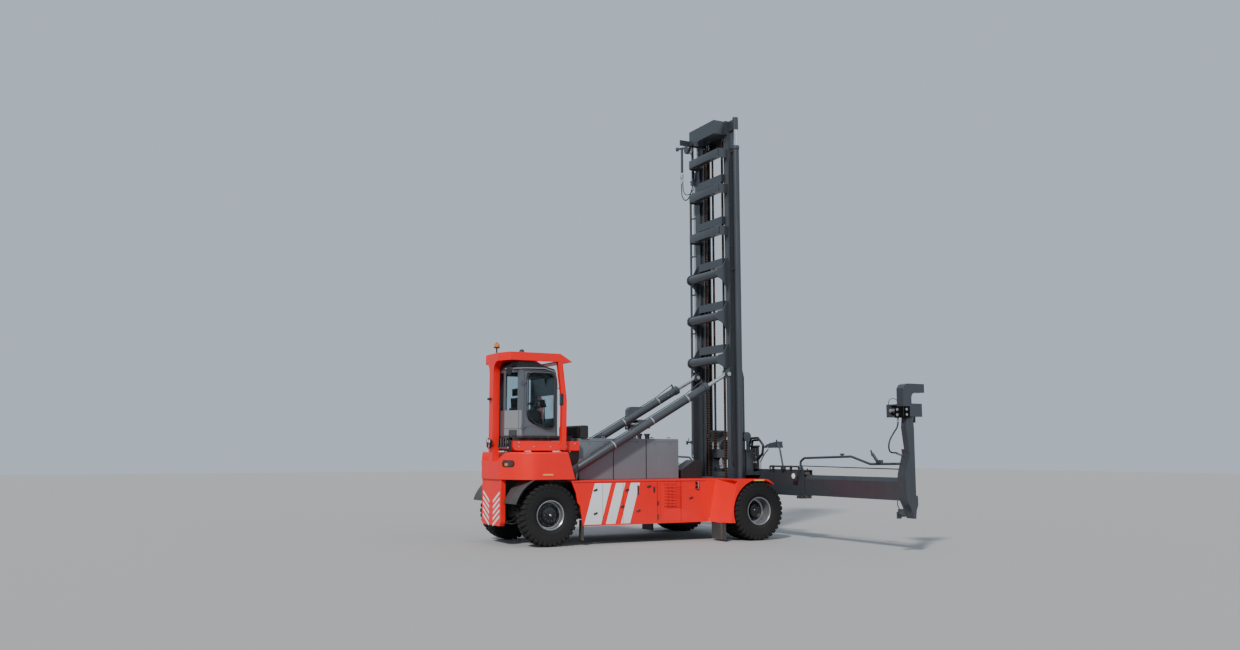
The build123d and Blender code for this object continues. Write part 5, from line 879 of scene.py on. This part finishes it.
round_bar((2.41, 1.36, 9.7), (2.41, 1.5, 9.66), 0.022, 12)
upright(2.41, 1.44, 9.62, 9.46, 0.024, 6)
upright(2.41, 1.37, 9.62, 9.5, 0.02, 6)
upright(2.47, 0.895, 9.74, 9.84, 0.026, 6)
upright(2.47, 0.845, 9.54, 9.64, 0.026, 6)
piece_from("hose_hanger", zinc, "mast")

# Hydraulic hoses: black rubber with swaged ends. Each hangs in a short free loop between two
# fittings on the same body
hose_rubber = finish_of("hose_rubber", (0.012, 0.012, 0.013), 0.6, peel_scale=1200,
    peel=0.0008, ledge=0.1)


def hose(name, body, points, diameter, hand=1):
    """A free hose between two fittings of the object, as one smooth spline drawn on the left."""
    points = [(x, hand * y, z) for x, y, z in points]
    line = tube_line(name, points, diameter / 2, resolution=10)
    line.materials.append(hose_rubber)
    made = bpy.data.objects.new(name, line)
    bpy.context.scene.collection.objects.link(made)
    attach(made, body)
    return made


hose("mast_hose_outer", "mast", [(2.41, 1.44, 9.47), (2.41, 1.44, 9.33), (2.41, 1.43, 9.1),
    (2.415, 1.26, 8.93), (2.44, 1.07, 9), (2.468, 0.95, 9.3), (2.47, 0.897, 9.62), (2.47, 0.896, 9.76)],
    0.03)
hose("mast_hose_inner", "mast", [(2.41, 1.37, 9.51), (2.41, 1.37, 9.38), (2.412, 1.34, 9.2),
    (2.42, 1.2, 9.08), (2.45, 1.02, 9.1), (2.47, 0.86, 9.24), (2.472, 0.846, 9.42), (2.47, 0.845, 9.56)],
    0.024)

# Header and mast top: the lift chains' anchor bolts with their nuts, and a sheet steel plate over the
# chains between the uprights, welded to four ribs, black as painted shade for the shadowed sheaves and
# plates under the header
for bolt_y in (0.34, 0.44):
    upright(2.6, bolt_y, 10.14, 10.3, 0.016, 10)
    upright(2.6, bolt_y, 10.2, 10.23, 0.028, 6)
mirror_across()
piece_from("header_anchor_bolts", zinc, "lifting_mast")
# Plate and ribs in black: painted shade for the shadowed region under the header
block((2.7, -0.62, 9.96), (2.735, 0.62, 10.56))
for rib_y in (-0.61, -0.2, 0.2, 0.61):
    block((2.64, rib_y - 0.01, 9.99), (2.7, rib_y + 0.01, 10.279))
piece_from("header_shade_plate", black_plastic, "lifting_mast", edge=0.003)

# Shut-off valve of the lift line: a steel block on the upright's side with a hand lever, a pipe
# rising from it beside the mast and two short pipes leading down
block((2.395, 0.9, 2.29), (2.455, 1.08, 2.37))
block((2.44, 0.795, 2.305), (2.495, 0.905, 2.355))
round_bar((2.425, 1.04, 2.33), (2.425, 1.29, 2.33), 0.02, 12)
upright(2.425, 1.2, 2.33, 2.44, 0.012, 12)
upright(2.425, 1.285, 2.27, 2.37, 0.028, 12)
piece_from("lift_line_valve", black_trim, "mast", edge=0.004)
bent_pipe([(2.425, 1, 2.36), (2.425, 1, 8.95), (2.47, 0.915, 9.1)], 0.032, 0.05)
bent_pipe([(2.425, 1.045, 2.3), (2.425, 1.045, 1.95), (2.56, 0.96, 1.78)], 0.017, 0.05)
bent_pipe([(2.425, 0.975, 2.3), (2.425, 0.975, 1.99), (2.56, 0.92, 1.82)], 0.017, 0.05)
piece_from("lift_line_pipes", mast_paint, "mast")

# Pivot pins of the tilt rods: greased steel pins in the mast's lugs, with a collar at each side
# and a keeper bolted over the outer end
for low, high, radius in ((0.6, 0.84, 0.034), (0.835, 0.85, 0.052), (0.59, 0.605, 0.052)):
    round_bar((2.37, low, 4.02), (2.37, high, 4.02), radius, 20)
round_bar((2.37, 0.85, 4.05), (2.37, 0.862, 4.05), 0.01, 6)
mirror_across()
piece_from("tilt_eye_pins", zinc, "mast")

# Carriage front: rope-guide sheaves, chain adjusters, grease reservoir and hose clamp plate on
# the cross plate
for sheave_y in (-0.1, -0.33):
    turned((2.67, sheave_y, 2.27), (0, 1, 0), [(-45, 0), (-45, 112), (-36, 115), (-20, 90), (20, 90),
        (36, 115), (45, 112), (45, 0)], 32)
    block((2.625, sheave_y - 0.065, 2.145), (2.715, sheave_y - 0.05, 2.31))
    block((2.625, sheave_y + 0.05, 2.145), (2.715, sheave_y + 0.065, 2.31))
piece_from("carriage_sheaves", mast_paint, "carriage")
for adjuster_y in (0.16, 0.4, -0.42):
    upright(2.67, adjuster_y, 2.14, 2.33, 0.02, 12)
    upright(2.67, adjuster_y, 2.15, 2.185, 0.036, 6)
    upright(2.67, adjuster_y, 2.24, 2.27, 0.036, 6)
upright(2.645, -0.02, 1.74, 1.88, 0.052, 20)
upright(2.645, -0.02, 1.88, 1.92, 0.028, 12)
block((2.645, -0.09, 1.66), (2.69, 0.05, 1.76))
piece_from("carriage_adjusters", zinc, "carriage")

# Spreader fittings: a floodlight on a stalk at each side, pipes along the top, bronze guide
# pads at the housing's ends, and round lamps on its rear face
housing_top = 1.655
housing_rear = 3.07
for side in (-1, 1):
    block((3.08, side * 1.995 - 0.05, housing_top), (3.165, side * 1.995 + 0.05, housing_top + 0.09))
    bent_pipe([(3.12, side * 1.995, housing_top + 0.05), (3.12, side * 1.88, 2.14),
        (3.13, side * 1.77, 2.26)], 0.024, 0.06)
    shell = block((3.11, side * 1.47 - 0.26, 2.18), (3.34, side * 1.47 + 0.26, 2.262))
    for corner in shell:
        if corner.co.z > 2.2:
            corner.co.x += (3.225 - corner.co.x) * 0.45
            if abs(corner.co.y) > 1.47:
                corner.co.z += 0.055
            else:
                corner.co.y += side * 0.05
    for fin in range(7):
        fin_y = side * (1.36 + fin * 0.05)
        block((3.17, fin_y - 0.006, 2.25), (3.29, fin_y + 0.006, 2.292 + fin * 0.006))
    block((3.11, side * 1.755 - 0.025, 2.2), (3.28, side * 1.755 + 0.025, 2.33))
    upright(3.13, side * 1.74, 2.3, 2.375, 0.02, 10)
piece_from("spreader_floodlights", mast_paint, "spreader", edge=0.006)


def ribbed_lens(name, roughness, rib_scale, dark, light, direction="X"):
    """A lens of moulded plastic whose ribs show as fine light and dark bands."""
    lens = plain_finish(name, {"Roughness": roughness})
    tree = lens.node_tree
    ribs = tree.nodes.new("ShaderNodeTexWave")
    ribs.bands_direction = direction
    ribs.inputs["Scale"].default_value = rib_scale
    tree.links.new(object_place(tree), ribs.inputs["Vector"])
    tree.links.new(colour_mix(tree, ribs.outputs["Fac"], (*dark, 1), (*light, 1)),
        tree.nodes["Principled BSDF"].inputs["Base Color"])
    return lens


lamp_glass = ribbed_lens("lamp_glass", 0.12, 26, (0.48, 0.49, 0.5), (0.8, 0.81, 0.82))
block((3.125, 1.23, 2.172), (3.325, 1.71, 2.18))
turned((housing_rear - 0.03, 2.5, 1.505), (-1, 0, 0), [(0, 66), (12, 64), (24, 45), (28, 0)], 28)
mirror_across()
piece_from("spreader_lamp_faces", lamp_glass, "spreader")
block((housing_rear - 0.016, 2.41, 1.405), (housing_rear, 2.59, 1.605))
turned((housing_rear - 0.016, 2.5, 1.505), (-1, 0, 0), [(0, 80), (16, 78), (22, 66), (0, 66)], 28, True)
block((3.15, 2.705, 1.545), (3.33, 2.775, 1.56))
for bolt_x in (3.165, 3.3):
    upright(bolt_x, 2.7, housing_top, housing_top + 0.03, 0.018, 6)
    upright(bolt_x, 2.66, 1.02, 1.045, 0.02, 6)
block((3.1, 2.52, 0.985), (3.39, 2.72, 1.045))
bent_pipe([(3.11, 1.48, housing_top + 0.01), (3.11, 1.48, housing_top + 0.075),
    (3.11, 2.66, housing_top + 0.075), (3.11, 2.66, housing_top + 0.01)], 0.023, 0.04)
for clip_y in (1.6, 2.3):
    block((3.085, clip_y - 0.012, housing_top), (3.15, clip_y + 0.012, housing_top + 0.1))
mirror_across()
piece_from("spreader_housing_trim", mast_paint, "spreader", edge=0.002)
pad_bronze = finish_of("pad_bronze", (0.085, 0.058, 0.036), 0.6, 0.2, drift=0.35)
for side, rear in ((-1, 3.18), (1, 3.29)):
    block((rear, side * 2.765 - 0.03, 1.541), (rear + 0.11, side * 2.765 + 0.03, 1.61))
    block((rear, side * 2.765 - 0.03, 1), (rear + 0.11, side * 2.765 + 0.03, 1.064))
piece_from("spreader_guide_pads", pad_bronze, "spreader", edge=0.004)

# Hose arch on the spreader: two thick black rubber hoses bent over a steel bulkhead, with
# plated fittings along it and a steel pipe that leaves beside them
for lane, drop in ((3.106, 0), (3.155, 0.055)):
    bent_pipe([(lane, -0.6 - drop, housing_top + 0.01), (lane, -0.6 - drop, 2.2),
        (lane, -0.7, 2.42 - drop), (lane, -1, 2.43 - drop), (lane, -1.21 + drop, 2.24),
        (lane, -1.17 + drop, 2.03), (lane, -0.94, 1.9), (lane, -0.87, housing_top + 0.01)], 0.028, 0.07)
block((3.078, -0.655, housing_top), (3.182, -0.555, housing_top + 0.07))
block((3.078, -0.92, housing_top), (3.182, -0.82, housing_top + 0.07))
piece_from("hose_arch", hose_rubber, "spreader")
block((3.115, -0.99, housing_top), (3.145, -0.66, 2.24))
block((3.09, -0.99, 2.2), (3.17, -0.66, 2.24))
for station in range(3):
    upright(3.09, -0.72 - station * 0.1, 1.8, 2.16, 0.018, 10)
piece_from("hose_bulkhead", mast_paint, "spreader", edge=0.003)
bent_pipe([(3.13, -1.06, housing_top + 0.01), (3.13, -1.06, 1.84), (3.13, -1.2, 2), (3.13, -1.39, 2.14),
    (3.13, -1.37, 2.19)], 0.018, 0.05)
for fitting_y, fitting_z in ((-0.72, 1.98), (-0.82, 2.04), (-0.92, 1.95)):
    round_bar((3.075, fitting_y, fitting_z), (3.105, fitting_y, fitting_z), 0.022, 6)
    upright(3.09, fitting_y, 1.8, 1.84, 0.024, 6)
piece_from("spreader_pipe_ends", zinc, "spreader")

# Telescoping arms: a guard pipe that slides over the housing on a shoe, a thin sensing rod,
# the lock head's hydraulic hose, roller pins, and latch plates at the foot. Thin black plates on
# the lock head are painted shade standing in for a recessed window.
# A flat near-black finish used as painted shade for the dark inside of an opening
painted_opening_shade = finish_of("painted_opening_shade", (0.002, 0.002, 0.002), 0.8, ground=0, ledge=0,
    streak=0, specular=0.1)
for side, hand, pipe_x in (("right", -1, 3.235), ("left", 1, 3.345)):
    arm = f"spreader_arm_{side}"
    bent_pipe([(pipe_x, 2.52, housing_top + 0.045), (pipe_x, 2.53, 1.85), (pipe_x, 2.67, 1.93),
        (pipe_x, 4.34, 1.971), (pipe_x, 4.95, 1.81), (pipe_x, 5.9, 1.825)], 0.028, 0.07, 4)
    block((pipe_x - 0.045, 2.47, housing_top + 0.005), (pipe_x + 0.045, 2.57, housing_top + 0.055))
    upright(pipe_x, 4.03, 1.96, 2.04, 0.03, 12)
    round_bar((pipe_x, 3.97, 2.02), (pipe_x, 4.1, 2.02), 0.016, 10)
    round_bar((pipe_x, 5.2, 1.84), (pipe_x, 5.02, 2.04), 0.034, 14)
    round_bar((pipe_x, 5.02, 1.98), (pipe_x, 4.98, 2.11), 0.018, 10)
    block((pipe_x - 0.05, 5.18, 1.83), (pipe_x + 0.05, 5.3, 1.9))
    rod_x = pipe_x + hand * 0.018
    bent_pipe([(rod_x, 2.6, 1.745), (rod_x, 5.9, 1.712)], 0.013, 0)
    block((rod_x - 0.02, 2.56, 1.675), (rod_x + 0.02, 2.6, 1.76))
    piece_from(f"arm_guard_pipe_{side}", mast_paint, arm, hand=hand)
    for pin_y in (5.6, 5.98):
        round_bar((3.3, pin_y, 2.94), (3.255, pin_y, 2.94), 0.04, 20)
        round_bar((3.275, pin_y, 2.94), (3.235, pin_y, 2.94), 0.018, 6)
    for coil in range(7):
        turned((3.262, (5.7 + coil * 0.03), 2.94), (0, 1, 0),
            [(6 * math.cos(k * math.pi / 3), 28 + 6 * math.sin(k * math.pi / 3)) for k in range(6)], 20,
            True)
    round_bar((3.262, 5.62, 2.94), (3.262, 5.96, 2.94), 0.012, 10)
    for pin_z in (2.84, 2.95):
        round_bar((3.127, 5.96, pin_z), (3.105, 5.96, pin_z), 0.03, 16)
        round_bar((3.2, 6.132, pin_z), (3.2, 6.15, pin_z), 0.026, 16)
    upright(3.18, 5.9, 2.69, 2.81, 0.024, 6)
    round_bar((3.12, 5.9, 2.035), (3.26, 5.9, 2), 0.022, 6)
    piece_from(f"lock_head_pins_{side}", zinc, arm, hand=hand)
    # Two thin black plates on the lock head's faces: painted shade standing in for a recessed window
    block((3.128, 6.1295, 2.775), (3.3, 6.1325, 3.015))
    block((3.127, 5.865, 2.775), (3.13, 6.115, 3.015))
    piece_from(f"lock_head_recess_shade_{side}", painted_opening_shade, arm, hand=hand)
    block((3.12, 5.87, 0.74), (3.22, 5.99, 0.9))
    block((3.09, 5.86, 0.7), (3.19, 5.9, 0.84))
    round_bar((3.13, 5.86, 0.8), (3.13, 6, 0.8), 0.03, 14)
    bent_pipe([(3.2, 5.855, 0.86), (3.13, 5.855, 0.98), (3.14, 5.855, 1.08), (3.2, 5.855, 1.12)], 0.01,
        0.03)
    piece_from(f"arm_foot_latch_{side}", mast_paint, arm, edge=0.004, hand=hand)
    hose(f"arm_hose_{side}", arm, [(3.18, 5.9, 2.7), (3.175, 5.9, 2.6), (3.05, 5.9, 2.47),
        (2.91, 5.9, 2.28), (2.9, 5.9, 2.11), (2.97, 5.9, 2.05), (3.13, 5.9, 2.055), (3.2, 5.9, 2.015)],
        0.034, hand=hand)
    hose(f"head_hose_{side}", arm, [(3.19, 5.62, 3.06), (3.19, 5.62, 3.13), (3.21, 5.66, 3.19),
        (3.27, 5.72, 3.2), (3.32, 5.76, 3.14), (3.34, 5.78, 3.06)], 0.014, hand)

# Lamps: amber beacon on the guard, black antenna dome, rear work lights on the post, tail
# lamps set in the hood's corners
beacon_amber = ribbed_lens("beacon_amber", 0.15, 30, (0.42, 0.1, 0.01), (0.75, 0.26, 0.03), "Z")
guard_top = 4.32
guard_rear = -3.64
beacon_foot = (guard_rear + 0.12, 0, guard_top)
upwards = (0, 0, 1)
rearwards = (-1, 0, 0)
turned(beacon_foot, upwards, [(160, 0), (160, 60), (175, 68), (228, 64), (244, 48), (245, 0)], 28)
piece_from("beacon_lens", beacon_amber, stands_for="lamps")
turned(beacon_foot, upwards, [(0, 0), (0, 60), (12, 54), (20, 17), (135, 17), (142, 70), (160, 72),
    (161, 0)], 28)
turned(beacon_foot, upwards, [(240, 0), (240, 50), (252, 42), (262, 14), (275, 10), (276, 0)], 28)
turned((guard_rear + 0.6, -0.35, guard_top), upwards,
    [(0, 0), (0, 60), (60, 58), (92, 46), (108, 20), (110, 0)], 28)
block((guard_rear - 0.028, -0.11, 2.19), (guard_rear, -0.01, 2.35))
block((guard_rear - 0.04, -0.17, 2.24), (guard_rear - 0.004, 0.05, 2.28))
for lamp_y, lamp_z in ((-0.11, 2.2), (-0.02, 2.33), (-0.13, 2.31)):
    turned((guard_rear - 0.03, lamp_y, lamp_z), rearwards,
        [(0, 0), (0, 45), (35, 58), (48, 58), (48, 50), (40, 0)], 24)
round_bar((guard_rear - 0.002, 0, 3.28), (guard_rear - 0.05, 0, 3.28), 0.018, 12)
round_bar((guard_rear - 0.045, -0.06, 3.28), (guard_rear - 0.045, 0.06, 3.28), 0.03, 16)
piece_from("lamp_bodies", black_trim)
red_lens = finish_of("red_lens", (0.5, 0.012, 0.01), 0.18, coat=0.6, peel_scale=120,
    ground=0.1, ledge=0.1)
turned((guard_rear - 0.07, -0.11, 2.2), rearwards, [(0, 0), (0, 49), (12, 40), (16, 0)], 24)
piece_from("rear_red_lens", red_lens)
for lamp_y, lamp_z in ((-0.02, 2.33), (-0.13, 2.31)):
    turned((guard_rear - 0.07, lamp_y, lamp_z), rearwards, [(0, 0), (0, 49), (10, 40), (14, 0)], 24)
piece_from("rear_white_lenses", lamp_glass)


def oval_plate(across, height, half_width, half_height, stand, depth):
    """A flat-sided oval on the hood's right-hand tail face, so far across and standing so far off it."""
    disc = bmesh.ops.create_circle(work, cap_ends=True, segments=40, radius=half_height)["verts"]
    for vert in disc:
        vert.co.x += math.copysign(half_width - half_height, vert.co.x) if abs(vert.co.x) > 1e-5 else 0
    raised = bmesh.ops.extrude_face_region(work, geom=list({face for vert in disc
        for face in vert.link_faces}))["geom"]
    raised = [part for part in raised if isinstance(part, bmesh.types.BMVert)]
    bmesh.ops.translate(work, vec=(0, 0, depth), verts=raised)
    foot = Vector((tail_rear_x + (across - tail_rear_y) * tail_slope, -across, height))
    out = Vector((-1, -tail_slope, 0)).normalized()
    along = Vector((tail_slope, -1, 0)).normalized()
    facing = Matrix((along, out.cross(along), out)).transposed().to_4x4()
    bmesh.ops.transform(work, matrix=Matrix.Translation(foot + out * stand) @ facing, verts=disc + raised)


tail_rear_x = -3.64
tail_rear_y = 0.55
tail_slope = 0.28 / 0.65
dark_lens = finish_of("dark_lens", (0.045, 0.01, 0.012), 0.15, coat=0.6, peel_scale=120,
    ledge=0.1)
for name, finish, edge, ovals in (("tail_lamp_frames", black_trim, 0.004,
        [(0.824, 1.815, 0.195, 0.076, 0, 0.01)]), ("tail_lamp_amber", beacon_amber, 0.002,
        [(0.775, 1.795, 0.052, 0.034, 0.01, 0.005)]),
        ("tail_lamp_red", dark_lens, 0.002, [(0.765, 1.845, 0.095, 0.022, 0.01, 0.005),
        (0.905, 1.815, 0.085, 0.052, 0.01, 0.005)])):
    for oval in ovals:
        oval_plate(*oval)
    mirror_across()
    piece_from(name, finish, edge=edge)
